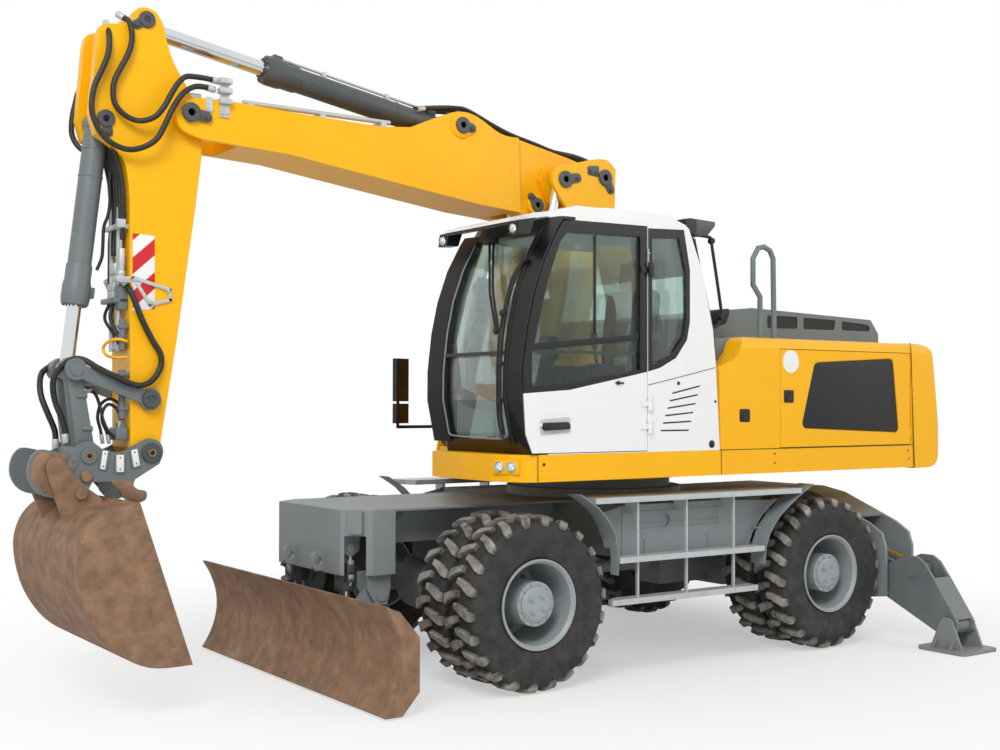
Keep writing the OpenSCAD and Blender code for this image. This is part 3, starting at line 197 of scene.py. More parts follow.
@dataclass(frozen=True)
class Finish:
    """A surface: its base colour, how it shines, and the patterns that lie on it.

    The sizes are real ones in millimetres: of the grain in the bump, of the cloudy change of tone, and of the
    rounding of the edges. Dust lies low down and in patches, and edges are worn to a lighter or barer colour.
    """

    name: str
    base: str
    second: str
    roughness: float
    metallic: float = 0.0
    coat: float = 0.0
    ior: float = 1.5
    transmission: float = 0.0
    specular: float = 0.5
    alpha: float = 1.0
    grain_mm: float = 6.0
    grain_depth: float = 0.02
    cloud_mm: float = 300.0
    cloud_share: float = 0.35
    dust: str = "#9C8B74"
    dust_share: float = 0.15
    dust_height: float = 0.9
    edge: str = "#C9C4BA"
    edge_share: float = 0.0
    round_mm: float = 3.0
    worn: str = ""
    stripe: str = ""

    def make(self) -> bpy.types.Material:
        """Builds the material with its nodes.

        Returns:
            The new material.
        """
        material = bpy.data.materials.new(self.name)
        material.use_nodes = True
        tree = material.node_tree
        tree.nodes.clear()
        place = add_node(tree, "ShaderNodeTexCoord").outputs["Object"]
        cloud = add_node(
            tree, "ShaderNodeTexNoise", {"Scale": 1000 / self.cloud_mm, "Detail": 5.0, "Roughness": 0.6},
            {"Vector": place}
        )
        tone = map_range(tree, cloud.outputs[0], (0.35, 0.7), (0.0, self.cloud_share))
        paint = add_node(
            tree, "ShaderNodeMix", {"data_type": "RGBA", 6: to_linear(self.base), 7: to_linear(self.second)},
            {0: tone}
        ).outputs[2]
        if self.stripe:
            paint = self.stripes(tree, place, paint)
        grain = add_node(
            tree, "ShaderNodeTexNoise", {"Scale": 1000 / self.grain_mm, "Detail": 3.0}, {"Vector": place}
        )
        round_edge = add_node(tree, "ShaderNodeBevel", {"samples": 3, "Radius": self.round_mm / 1000})
        bump = add_node(
            tree, "ShaderNodeBump", {"Strength": 0.5, "Distance": self.grain_depth / 10},
            {"Height": grain.outputs[0], "Normal": round_edge.outputs[0]}
        )
        if self.edge_share:
            paint = self.edges(tree, place, paint, round_edge.outputs[0])
        # Dust gathers low down and in the hollows of a coarse cloud
        height = add_node(tree, "ShaderNodeSeparateXYZ", {}, {0: place})
        low = map_range(tree, height.outputs[2], (0.0, self.dust_height), (1.0, 0.25))
        speck = add_node(
            tree, "ShaderNodeTexNoise", {"Scale": 9.0, "Detail": 8.0, "Roughness": 0.7}, {"Vector": place}
        )
        patch = map_range(tree, speck.outputs[0], (0.42, 0.68), (0.0, self.dust_share))
        share = math_node(tree, "MULTIPLY", low, patch)
        colour = lay_over(tree, share, paint, self.dust)
        if self.worn:
            worn = add_node(tree, "ShaderNodeAttribute", {"attribute_name": "wear"})
            fine = map_range(tree, speck.outputs[0], (0.3, 0.6), (0.0, 0.8))
            part = math_node(tree, "MULTIPLY", worn.outputs["Fac"], fine)
            colour = lay_over(tree, part, colour, self.worn)
        rough = map_range(tree, share, (0.0, 1.0), (self.roughness, min(1.0, self.roughness + 0.5)))
        shader = add_node(
            tree, "ShaderNodeBsdfPrincipled",
            {
                "Metallic": self.metallic, "IOR": self.ior, "Transmission Weight": self.transmission,
                "Specular IOR Level": self.specular, "Alpha": self.alpha, "Coat Weight": self.coat,
                "Coat Roughness": 0.12
            },
            {"Base Color": colour, "Roughness": rough, "Normal": bump.outputs[0]}
        )
        add_node(tree, "ShaderNodeOutputMaterial", {}, {"Surface": shader.outputs[0]})
        return material

    def edges(
        self, tree: bpy.types.NodeTree, place: bpy.types.NodeSocket, paint: bpy.types.NodeSocket,
        rounded_normal: bpy.types.NodeSocket
    ) -> bpy.types.NodeSocket:
        """Wears the paint along the edges, where the rounded normal leaves the face's own.

        Args:
            tree: The material's nodes.
            place: Object coordinates.
            paint: Colour before the wear.
            rounded_normal: Normal of the rounded edges.

        Returns:
            Colour with the wear.
        """
        own = add_node(tree, "ShaderNodeNewGeometry")
        match = add_node(
            tree, "ShaderNodeVectorMath", {"operation": "DOT_PRODUCT"},
            {0: rounded_normal, 1: own.outputs["Normal"]}
        )
        chips = add_node(
            tree, "ShaderNodeTexNoise", {"Scale": 28.0, "Detail": 6.0, "Roughness": 0.75}, {"Vector": place}
        )
        rough_edge = map_range(tree, match.outputs["Value"], (0.99, 0.90), (0.0, 1.0))
        chip = map_range(tree, chips.outputs[0], (0.46, 0.60), (0.0, self.edge_share))
        return lay_over(tree, math_node(tree, "MULTIPLY", rough_edge, chip), paint, self.edge)

    def stripes(
        self, tree: bpy.types.NodeTree, place: bpy.types.NodeSocket, paint: bpy.types.NodeSocket
    ) -> bpy.types.NodeSocket:
        """Lays slanted stripes of a second colour over the paint.

        Args:
            tree: The material's nodes.
            place: Object coordinates.
            paint: Colour between the stripes.

        Returns:
            Colour with the stripes.
        """
        parts = add_node(tree, "ShaderNodeSeparateXYZ", {}, {0: place})
        slant = add_node(
            tree, "ShaderNodeMath", {"operation": "MULTIPLY_ADD", 1: 0.9},
            {0: parts.outputs[0], 2: parts.outputs[2]}
        )
        wave = add_node(tree, "ShaderNodeMath", {"operation": "PINGPONG", 1: 0.1}, {0: slant.outputs[0]})
        step = map_range(tree, wave.outputs[0], (0.049, 0.051), (0.0, 1.0))
        return lay_over(tree, step, paint, self.stripe)


class Slot(Enum):
    """Material slots of the record."""

    FRAME = "frame_grey"
    ARM = "arm_grey"
    YELLOW = "yellow"
    WHITE = "white"
    RUST = "rust"
    TYRE = "tyre"
    RIM = "rim"
    STEP = "step"
    CHROME = "chrome"
    BLACK = "black"
    GLASS = "glass"
    HOSE = "hose"


FINISHES = {
    # Satin grey chassis paint, dusty low down and rubbed at its edges
    Slot.FRAME: Finish(
        "painted_steel_chassis", "#878F92", "#798184", 0.48, grain_mm=4, dust_share=0.45, edge="#A9ABA8",
        edge_share=0.5
    ),
    # Darker grey of the cylinders and the linkage
    Slot.ARM: Finish(
        "painted_steel_linkage", "#454B4E", "#3A4042", 0.42, dust_share=0.35, edge="#8C8B86", edge_share=0.5
    ),
    # Glossy yellow enamel with a clear coat
    Slot.YELLOW: Finish(
        "enamel_yellow", "#FFBC00", "#FBB000", 0.36, specular=0.3, coat=0.06, dust_share=0.06, edge="#FFCE3A",
        edge_share=0.25
    ),
    # White enamel of the cab
    Slot.WHITE: Finish("enamel_white", "#F3F4F3", "#ECECE9", 0.34, coat=0.12, dust_share=0.1),
    # Bare digging steel, brown with rust and polished along its edges
    Slot.RUST: Finish(
        "rusted_steel", "#A07C60", "#6E543F", 0.6, metallic=0.3, grain_mm=9, grain_depth=0.06, cloud_mm=110,
        cloud_share=0.95, dust="#8F7A64", dust_share=0.6, dust_height=1.6, edge="#B9A797", edge_share=0.8,
        round_mm=6.0
    ),
    # Black rubber with dry soil on the tops of the lugs
    Slot.TYRE: Finish(
        "moulded_rubber", "#1F2022", "#2B2C2F", 0.7, grain_mm=3, dust="#6E675C", dust_share=0.4, dust_height=1.3,
        worn="#B5B0A8"
    ),
    # Light grey rims and hubs
    Slot.RIM: Finish(
        "painted_steel_rim", "#A0A8AB", "#929A9D", 0.4, dust_share=0.25, edge="#BFC2C2", edge_share=0.3
    ),
    # Galvanised treads and clamps
    Slot.STEP: Finish("galvanised_steel", "#C6CBCD", "#A9AEB1", 0.38, metallic=0.4, cloud_mm=60, dust_share=0.5),
    # Chromed piston rods
    Slot.CHROME: Finish(
        "chromed_steel", "#D9DCDE", "#CDD1D4", 0.1, metallic=1.0, grain_depth=0.001, dust_share=0.08
    ),
    # Black paint of the window frames
    Slot.BLACK: Finish("painted_black_steel", "#0E0F10", "#141516", 0.3, specular=0.4, coat=0.1, dust_share=0.03),
    # Green tinted safety glass
    Slot.GLASS: Finish(
        "tinted_glass", "#C6E9E1", "#C6E9E1", 0.0, transmission=1.0, alpha=0.6, ior=1.45, grain_depth=0.0,
        dust_share=0.0, round_mm=0.0
    ),
    # Rubber cover of the hoses
    Slot.HOSE: Finish("hydraulic_hose_rubber", "#141516", "#1C1D1E", 0.5, dust_share=0.25),
}

MORE_FINISHES = {
    # Painted shade: the white paint made grey where the handle's dished recess lies in shade
    "recess_grey": Finish("enamel_recess", "#C9CCCB", "#BDC0BF", 0.4, dust_share=0.2, round_mm=0.0),
    # Clear lens over a bright reflector
    "lamp_lens": Finish(
        "lamp_lens", "#DDE3E6", "#B9C2C8", 0.08, metallic=0.85, grain_mm=4.0, grain_depth=0.15, dust_share=0.02,
        round_mm=0.0
    ),
    # Mid grey of the coupler, the levers and the bucket cylinder: partly their own lighter grey, partly a painted
    # highlight where they face the light. On the stabiliser legs it is painted shade, darker than the chassis grey
    "grey_painted_light_and_shade": Finish(
        "steel_grey_painted_light_and_shade", "#6C7578", "#5C6467", 0.42, dust_share=0.35, edge="#A09C93", edge_share=0.6
    ),
    # Semi-matt grey sheet of the engine bay's cover
    "cover_grey": Finish(
        "painted_sheet_cover", "#6F7B80", "#667277", 0.5, dust_share=0.1, edge="#98A1A3", edge_share=0.3
    ),
    # Reflective film with red and white stripes
    "striped_film": Finish("striped_reflective_film", "#F2F2F0", "#E8E8E5", 0.35, stripe="#D3141C", dust_share=0.2),
    # Woven seat cover
    "seat_fabric": Finish(
        "woven_seat_fabric", "#2A2C2F", "#1E2022", 0.9, grain_mm=2.5, grain_depth=0.05, dust_share=0.2
    ),
    # Moulded plastic with a fine grain
    "black_plastic": Finish(
        "grained_black_plastic", "#161719", "#1C1D1F", 0.5, specular=0.4, grain_mm=2, grain_depth=0.03,
        dust_share=0.05
    ),
}


@dataclass(frozen=True)
class Studio:
    """Floor, light and camera. The camera was solved from the photograph, so its values are that lens and place."""

    sensor_mm: float = 36.0
    # Focal length for a picture 1000 pixels wide
    focal_px: float = 1316.7
    place: Point = (6.1518, 7.6018, 1.7554)
    azimuth_degrees: float = 34.94
    pitch: float = 0.0202
    roll: float = 0.002
    floor_half: float = 60
    floor_drop: float = 0.002
    # The floor keeps its own colour up to the first distance and is white from the second one on
    white_from: float = 1.0
    white_to: float = 5.5

    def floor(self) -> None:
        """Lays a pale floor that fades into the white background and keeps the shadow."""
        mesh = bmesh.new()
        bmesh.ops.create_grid(mesh, x_segments=1, y_segments=1, size=self.floor_half)
        data = bpy.data.meshes.new("floor")
        mesh.to_mesh(data)
        mesh.free()
        plane = bpy.data.objects.new("floor", data)
        bpy.context.scene.collection.objects.link(plane)
        plane.location.z = -self.floor_drop
        material = bpy.data.materials.new("pale_concrete_floor")
        material.use_nodes = True
        tree = material.node_tree
        tree.nodes.clear()
        shader = add_node(tree, "ShaderNodeBsdfPrincipled", {"Base Color": to_linear("#F1F1F0"), "Roughness": 0.9})
        # The floor turns into the white of the background away from the machine
        place = add_node(tree, "ShaderNodeTexCoord").outputs["Object"]
        far = add_node(tree, "ShaderNodeVectorMath", {"operation": "LENGTH"}, {0: place})
        fade = add_node(
            tree, "ShaderNodeMapRange",
            {
                "interpolation_type": "SMOOTHSTEP", "From Min": self.white_from, "From Max": self.white_to,
                "To Min": 0.45
            },
            {0: far.outputs["Value"]}
        )
        white = add_node(tree, "ShaderNodeEmission", {"Color": to_linear("#FFFFFF"), "Strength": 1.0})
        seen = add_node(tree, "ShaderNodeLightPath").outputs["Is Camera Ray"]
        share = math_node(tree, "MULTIPLY", fade.outputs[0], seen)
        both = add_node(tree, "ShaderNodeMixShader", {}, {0: share, 1: shader.outputs[0], 2: white.outputs[0]})
        add_node(tree, "ShaderNodeOutputMaterial", {}, {"Surface": both.outputs[0]})
        data.materials.append(material)

    def lights(self) -> None:
        """Sets a white surround and soft lamps at a plain level."""
        world = bpy.data.worlds.new("studio")
        bpy.context.scene.world = world
        world.use_nodes = True
        tree = world.node_tree
        tree.nodes.clear()
        path = add_node(tree, "ShaderNodeLightPath")
        seen = math_node(tree, "MAXIMUM", path.outputs["Is Camera Ray"], path.outputs["Is Glossy Ray"])
        seen = math_node(tree, "MAXIMUM", seen, path.outputs["Is Transmission Ray"])
        soft = add_node(tree, "ShaderNodeBackground", {"Color": to_linear("#FFFFFF"), "Strength": 0.5})
        white = add_node(tree, "ShaderNodeBackground", {"Color": to_linear("#FFFFFF"), "Strength": 1.0})
        both = add_node(tree, "ShaderNodeMixShader", {}, {0: seen, 1: soft.outputs[0], 2: white.outputs[0]})
        add_node(tree, "ShaderNodeOutputWorld", {}, {"Surface": both.outputs[0]})
        for name, place, turn, watts, size in (
            ("key", (9.0, 8.0, 10.0), (math.radians(48), 0.0, math.radians(128)), 950.0, 5.0),
            ("fill", (-8.0, 9.0, 8.0), (math.radians(50), 0.0, math.radians(225)), 300.0, 7.0),
        ):
            lamp = bpy.data.lights.new(name, "AREA")
            lamp.energy = watts
            lamp.size = size
            holder = bpy.data.objects.new(name, lamp)
            holder.location = place
            holder.rotation_euler = Euler(turn)
            bpy.context.scene.collection.objects.link(holder)

    def camera(self) -> None:
        """Puts the camera at the photograph's viewing place."""
        lens = bpy.data.cameras.new("camera")
        lens.sensor_width = self.sensor_mm
        lens.lens = self.focal_px / 1000 * self.sensor_mm
        lens.clip_end = 200.0
        holder = bpy.data.objects.new("camera", lens)
        holder.location = self.place
        azimuth, pitch = math.radians(self.azimuth_degrees), self.pitch
        ahead = Vector((
            -math.sin(azimuth) * math.cos(pitch), -math.cos(azimuth) * math.cos(pitch), math.sin(pitch)
        ))
        holder.rotation_euler = (
            ahead.to_track_quat("-Z", "Y").to_matrix() @ Matrix.Rotation(self.roll, 3, "Z")
        ).to_euler()
        bpy.context.scene.collection.objects.link(holder)
        bpy.context.scene.camera = holder


class Shape:
    """One piece while it is shaped with bmesh operators, in metres."""

    def __init__(self) -> None:
        """Starts an empty mesh."""
        self.mesh = bmesh.new()
        self.wear = self.mesh.verts.layers.float.new("wear")

    def block(self, low: Point, high: Point, bevel: float = 0.0, turn: Matrix | None = None) -> list:
        """Adds a box between two corners.

        Args:
            low: Lowest corner.
            high: Highest corner.
            bevel: Width of its rounded edges.
            turn: Matrix applied about the box's middle.

        Returns:
            The box's vertices.
        """
        middle = (Vector(low) + Vector(high)) / 2
        size = Vector(high) - Vector(low)
        made = bmesh.ops.create_cube(self.mesh, size=1.0)["verts"]
        bmesh.ops.scale(self.mesh, vec=size, verts=made)
        made = self._soften(made, bevel)
        if turn is not None:
            bmesh.ops.transform(self.mesh, matrix=turn.to_4x4(), verts=made)
        bmesh.ops.translate(self.mesh, vec=middle, verts=made)
        return made

    def drum(
        self, start: Point, end: Point, radius: float, end_radius: float | None = None, sides: int = 32,
        bevel: float = 0.0
    ) -> list:
        """Adds a round bar or a cone between two points.

        Args:
            start: Middle of the first end.
            end: Middle of the second end.
            radius: Radius at the first end.
            end_radius: Radius at the second end, the same if left out.
            sides: Number of sides.
            bevel: Width of its rounded edges.

        Returns:
            The drum's vertices.
        """
        first, second = Vector(start), Vector(end)
        along = second - first
        made = bmesh.ops.create_cone(
            self.mesh, cap_ends=True, segments=sides, radius1=radius,
            radius2=radius if end_radius is None else end_radius, depth=along.length
        )["verts"]
        made = self._soften(made, bevel, math.radians(60))
        turn = along.to_track_quat("Z", "Y").to_matrix().to_4x4()
        bmesh.ops.transform(self.mesh, matrix=Matrix.Translation((first + second) / 2) @ turn, verts=made)
        return made

    def turned(
        self, centre: Point, axis: Point, profile: list[Point2], steps: int = 64, closed: bool = True
    ) -> list:
        """Spins a profile of radius and place along the axis into a ring.

        Args:
            centre: Point on the axis.
            axis: Direction of the axis.
            profile: Points as (radius, place along the axis).
            steps: Number of steps round.
            closed: Whether the profile's last point joins its first.

        Returns:
            The ring's vertices.
        """
        before = set(self.mesh.verts)
        points = [self.mesh.verts.new((radius, 0.0, along)) for radius, along in profile]
        pairs = list(zip(points, points[1:])) + ([(points[-1], points[0])] if closed else [])
        edges = [self.mesh.edges.new(pair) for pair in pairs]
        bmesh.ops.spin(
            self.mesh, geom=points + edges, cent=(0, 0, 0), axis=(0, 0, 1), angle=math.tau, steps=steps,
            use_merge=True
        )
        made = [v for v in self.mesh.verts if v not in before]
        turn = Vector(axis).to_track_quat("Z", "Y").to_matrix().to_4x4()
        bmesh.ops.transform(self.mesh, matrix=Matrix.Translation(centre) @ turn, verts=made)
        return made

    def cap(self, centre: Point, axis: Point, profile: list[Point2], steps: int) -> list:
        """Spins a profile that starts and ends on the axis into a solid disc, head or knob.

        Args:
            centre: Point on the axis.
            axis: Direction of the axis.
            profile: Points as (radius, place along the axis).
            steps: Number of steps round.

        Returns:
            The form's vertices.
        """
        return self.turned(centre, axis, profile, steps, False)

    def plate(self, outline: list[Point], push: Point, bevel: float = 0.0) -> list:
        """Adds a flat plate from an outline pushed out by a vector.

        Args:
            outline: Corners of one face in order.
            push: Vector from that face to the opposite one.
            bevel: Width of its rounded edges.

        Returns:
            The plate's vertices.
        """
        face = self.mesh.faces.new([self.mesh.verts.new(p) for p in outline])
        pushed = bmesh.ops.extrude_face_region(self.mesh, geom=[face])["geom"]
        top = [g for g in pushed if isinstance(g, bmesh.types.BMVert)]
        bmesh.ops.translate(self.mesh, vec=push, verts=top)
        made = list(face.verts) + top
        return self._soften(made, bevel)

    def side_plate(self, outline: list[Point2], y: float, push: float, bevel: float = 0.0) -> list:
        """Adds a plate that lies in the side view.

        Args:
            outline: Corners of one face as (x, z).
            y: Place of that face across the machine.
            push: Distance to the opposite face, towards the left if positive.
            bevel: Width of its rounded edges.

        Returns:
            The plate's vertices.
        """
        return self.plate([(x, y, z) for x, z in outline], (0, push, 0), bevel)

    def tube(self, points: list[Point], radius: float, sides: int = 6, smooth: int = 6) -> None:
        """Adds a bent tube along a smooth line through the points.

        Args:
            points: Points the tube runs through.
            radius: Radius of the tube.
            sides: Resolution of its roundness.
            smooth: Steps between two points, or 1 for straight runs.
        """
        line = smooth_line(points, smooth)
        curve = bpy.data.curves.new("tube", "CURVE")
        curve.dimensions = "3D"
        curve.bevel_depth = radius
        curve.bevel_resolution = sides
        curve.use_fill_caps = True
        spline = curve.splines.new("POLY")
        spline.points.add(len(line) - 1)
        for point, place in zip(spline.points, line):
            point.co = (*place, 1.0)
        holder = bpy.data.objects.new("tube", curve)
        self.mesh.from_mesh(bpy.data.meshes.new_from_object(holder))
        bpy.data.objects.remove(holder)
        bpy.data.curves.remove(curve)

    def bolt(self, place: Point, axis: Point, radius: float) -> None:
        """Adds the head of a hexagon bolt on its washer.

        Args:
            place: Middle of the face it sits on.
            axis: Direction away from that face.
            radius: Radius of the head over its corners.
        """
        base, along = Vector(place), Vector(axis).normalized()
        self.drum(base - along * 0.002, base + along * radius * 0.3, radius * 1.3, sides=16)
        self.drum(base, base + along * radius * 0.95, radius, sides=6)

    def _soften(self, verts: list, width: float, angle: float = 0.5) -> list:
        """Rounds the sharp edges of the given vertices.

        Args:
            verts: Vertices of the form.
            width: Width of the rounding, nothing is done at 0.
            angle: Angle between faces in radians above which an edge is sharp.

        Returns:
            The form's new vertices.
        """
        if width <= 0:
            return verts
        keep = set(verts)
        near = {edge for vert in verts for edge in vert.link_edges}
        edges = [edge for edge in near if len(edge.link_faces) == 2 and edge.calc_face_angle(0) > angle]
        before = set(self.mesh.verts) - keep
        bmesh.ops.bevel(
            self.mesh, geom=edges, offset=width, offset_type="OFFSET", affect="EDGES", segments=2, profile=0.5,
            material=-1
        )
        return [v for v in self.mesh.verts if v not in before]

    def finish(
        self, name: str, material: bpy.types.Material, body: str | None, slot: Slot, crease: float = 35.0
    ) -> bpy.types.Object:
        """Closes the mesh and makes it a piece that rides on a body.

        Args:
            name: Name of the piece.
            material: Its material.
            body: Body it moves with, or None for a piece that rides on no body.
            slot: Slot of the record, not used.
            crease: Angle in degrees above which an edge stays sharp.

        Returns:
            The new object.
        """
        bmesh.ops.remove_doubles(self.mesh, verts=self.mesh.verts[:], dist=0.00002)
        bmesh.ops.recalc_face_normals(self.mesh, faces=self.mesh.faces[:])
        data = bpy.data.meshes.new(name)
        self.mesh.to_mesh(data)
        self.mesh.free()
        data.shade_smooth()
        data.set_sharp_from_angle(angle=math.radians(crease))
        data.materials.append(material)
        piece = bpy.data.objects.new(name, data)
        bpy.context.scene.collection.objects.link(piece)
        if body:
            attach(piece, body)
        LOG.info("made %s on %s", name, body)
        return piece


def smooth_line(points: list[Point], steps: int) -> list[Vector]:
    """Fills a smooth line through the points, with the given steps between each two.

    Args:
        points: Points on the line.
        steps: Steps between two points.

    Returns:
        All points of the line.
    """
    if steps <= 1:
        return [Vector(p) for p in points]
    places = [Vector(p) for p in points]
    places = [2 * places[0] - places[1]] + places + [2 * places[-1] - places[-2]]
    line = []
    for a, b, c, d in zip(places, places[1:], places[2:], places[3:]):
        for step in range(steps):
            t = step / steps
            line.append(0.5 * (
                (2 * b) + (c - a) * t + (2 * a - 5 * b + 4 * c - d) * t * t + (3 * b - a - 3 * c + d) * t ** 3
            ))
    line.append(places[-2])
    return line


@dataclass
class Tyre:
    """A traction tyre with two rows of slanted lugs, built round its own axle."""

    radius: float = 0.535
    width: float = 0.27
    bead: float = 0.2625
    lug_depth: float = 0.032
    lugs: int = 22
    slant: float = 0.045
    steps: int = 72

    def carcass(self, shape: Shape, middle: Point) -> None:
        """Spins the casing from bead to bead.

        Args:
            shape: Shape that takes it.
            middle: Middle of the tyre.
        """
        half = self.width / 2
        floor = self.radius - self.lug_depth
        side = [
            (self.bead, 0.70), (self.bead + 0.008, 0.80), (0.283, 0.86), (0.290, 0.885), (0.297, 0.88),
            (0.335, 0.955), (0.385, 0.995), (0.425, 0.995), (0.455, 0.975), (0.478, 0.93), (0.492, 0.86),
            (floor - 0.004, 0.76), (floor, 0.45), (floor + 0.001, 0.0)
        ]
        profile = [(r, -y * half) for r, y in side] + [(r, y * half) for r, y in reversed(side[:-1])]
        shape.turned(middle, (0, 1, 0), profile, self.steps)

    def lug(self, side: float) -> bpy.types.Mesh:
        """Shapes one lug that runs from the middle of the tread over the shoulder.

        Args:
            side: 1 or -1 for the outer or inner row.

        Returns:
            Mesh of the lug at the top of the tyre.
        """
        mesh = bmesh.new()
        wear = mesh.verts.layers.float.new("wear")
        bmesh.ops.create_cube(mesh, size=1.0)
        bmesh.ops.subdivide_edges(
            mesh, edges=[e for e in mesh.edges if abs(e.verts[0].co.y - e.verts[1].co.y) > 0.5], cuts=4
        )
        path = [
            (-0.010, 0.0, 0.0), (0.035, 0.0, 0.012), (0.080, -0.001, 0.030), (0.114, -0.007, 0.046),
            (0.130, -0.030, 0.054), (0.1345, -0.068, 0.058)
        ]
        half_widths = [0.021, 0.025, 0.030, 0.035, 0.034, 0.024]
        # The lug's foot lies further in than its top over the shoulder, and it is wider than the top
        inset = [0.0, 0.0, 0.0, 0.012, 0.030, 0.030]
        top_share, foot_share = 0.90, 1.12
        for vert in mesh.verts:
            step = round((vert.co.y + 0.5) * 5)
            out, drop, lean = path[step]
            top = vert.co.z > 0
            radius = self.radius + drop
            if not top:
                radius -= (self.lug_depth + 0.014) if step < 4 else 0.004
                out -= inset[step]
            share = top_share if top else foot_share
            angle = (lean + math.copysign(half_widths[step] * share, vert.co.x)) / self.radius
            vert[wear] = 1.0 if top and step < 5 else 0.0
            vert.co = Vector((radius * math.sin(angle), side * out, radius * math.cos(angle)))
        rim = [e for e in mesh.edges if all(v[wear] == 1.0 for v in e.verts) and e.calc_face_angle(0) > 0.8]
        bmesh.ops.bevel(
            mesh, geom=rim, offset=0.003, offset_type="OFFSET", affect="EDGES", segments=1, profile=0.5, material=-1
        )
        data = bpy.data.meshes.new("lug")
        mesh.to_mesh(data)
        mesh.free()
        return data

    def build(self) -> bpy.types.Mesh:
        """Builds the whole tyre about its own middle.

        Returns:
            Mesh of the tyre.
        """
        tread = Shape()
        for row, side in enumerate((1.0, -1.0)):
            lug = self.lug(side)
            for index in range(self.lugs):
                before = set(tread.mesh.verts)
                tread.mesh.from_mesh(lug)
                turn = Matrix.Rotation((index + row / 2) * math.tau / self.lugs, 4, "Y")
                bmesh.ops.transform(tread.mesh, matrix=turn, verts=[v for v in tread.mesh.verts if v not in before])
            bpy.data.meshes.remove(lug)
        self.carcass(tread, (0.0, 0.0, 0.0))
        bmesh.ops.recalc_face_normals(tread.mesh, faces=tread.mesh.faces[:])
        data = bpy.data.meshes.new("tyre")
        tread.mesh.to_mesh(data)
        tread.mesh.free()
        return data


@dataclass
class Wheels:
    """The four twin wheels: treaded tyres and the parts on the rims."""

    front_x: float = 1.41
    rear_x: float = -1.18
    height: float = 0.535
    outer: float = 1.11
    inner: float = 0.792
    rim_face: float = 1.203
    # Radii of the circles of the cover's plugs, its screws and the wheel nuts
    plug_circle: float = 0.058
    screw_circle: float = 0.119
    nut_circle: float = 0.19

    def build(self, materials: Materials) -> None:
        """Builds the tyres and the details of the rims.

        Args:
            materials: Materials by slot name.
        """
        tyre = Tyre().build()
        for name, x, side in (
            ("fl", self.front_x, 1), ("fr", self.front_x, -1), ("rl", self.rear_x, 1), ("rr", self.rear_x, -1)
        ):
            shape = Shape()
            for offset, phase in ((self.outer, 0.1), (self.inner, 0.23)):
                before = set(shape.mesh.verts)
                shape.mesh.from_mesh(tyre)
                place = Matrix.Translation((x, side * offset, self.height)) @ Matrix.Rotation(phase, 4, "Y")
                bmesh.ops.transform(
                    shape.mesh, matrix=place, verts=[v for v in shape.mesh.verts if v not in before]
                )
            tyres = shape.finish("treaded_tyres_" + name, materials["tyre"], "wheel_" + name, Slot.TYRE, 30)
            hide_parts("tyres_" + name)
            self.rim(name, x, side, materials)

    def rim(self, name: str, x: float, side: int, materials: Materials) -> None:
        """Adds the hub cover, its plugs and screws, the wheel nuts and the valve.

        Args:
            name: Short name of the wheel.
            x: Place of the axle.
            side: 1 on the left, -1 on the right.
            materials: Materials by slot name.
        """
        z = self.height
        shape = Shape()
        face = side * self.rim_face
        shape.cap(
            (x, 0, z), (0, 1, 0),
            [
                (0.0, face - side * 0.02), (0.100, face - side * 0.02), (0.100, face), (0.092, face + side * 0.006),
                (0.0, face + side * 0.006)
            ],
            48
        )
        foot = face + side * 0.004
        for px, pz in round_about((x, z), self.plug_circle, 4, 0.4):
            shape.drum((px, foot, pz), (px, foot + side * 0.012, pz), 0.014, sides=20, bevel=0.002)
            shape.drum((px, foot + side * 0.010, pz), (px, foot + side * 0.020, pz), 0.008, sides=6)
        for px, pz in round_about((x, z), self.screw_circle, 12, 0.5):
            shape.drum((px, side * 1.190, pz), (px, side * 1.203, pz), 0.009, sides=6)
        for px, pz in round_about((x, z), self.nut_circle, 10, 0):
            shape.drum((px, side * 0.842, pz), (px, side * 0.875, pz), 0.016, sides=6)
            shape.drum((px, side * 0.87, pz), (px, side * 0.895, pz), 0.011, sides=12)
        shape.tube([
            (x + 0.235, side * 0.86, z), (x + 0.238, side * 1.0, z), (x + 0.225, side * 1.13, z),
            (x + 0.222, side * 1.17, z)
        ], 0.005, 2)
        shape.finish("hub_parts_" + name, materials["rim"], "wheel_" + name, Slot.RIM)


@dataclass
class Hose:
    """One rubber hose with its crimped ends."""

    name: str
    points: list[Point]
    radius: float
    bodies: tuple[str, ...]
    start: Point | None = None
    end: Point | None = None
    crimps: bool = True

    def build(self, materials: Materials) -> None:
        """Sweeps the hose, and leaves it on no body if it has two.

        Args:
            materials: Materials by slot name.
        """
        shape = Shape()
        shape.tube(self.points, self.radius, 3, 6)
        body = self.bodies[0] if len(self.bodies) == 1 else None
        piece = shape.finish(self.name, materials["hose"], body, Slot.HOSE, 60)
        if body is None:
            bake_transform(piece)
        if self.crimps:
            ends = Shape()
            for a, b in ((self.points[0], self.points[1]), (self.points[-1], self.points[-2])):
                along = (Vector(b) - Vector(a)).normalized()
                ends.drum(a, Vector(a) + along * 0.055, self.radius * 1.2, sides=16, bevel=0.002)
            fitting = ends.finish(self.name + "_crimps", materials["step"], body, Slot.STEP)
            if body is None:
                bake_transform(fitting)


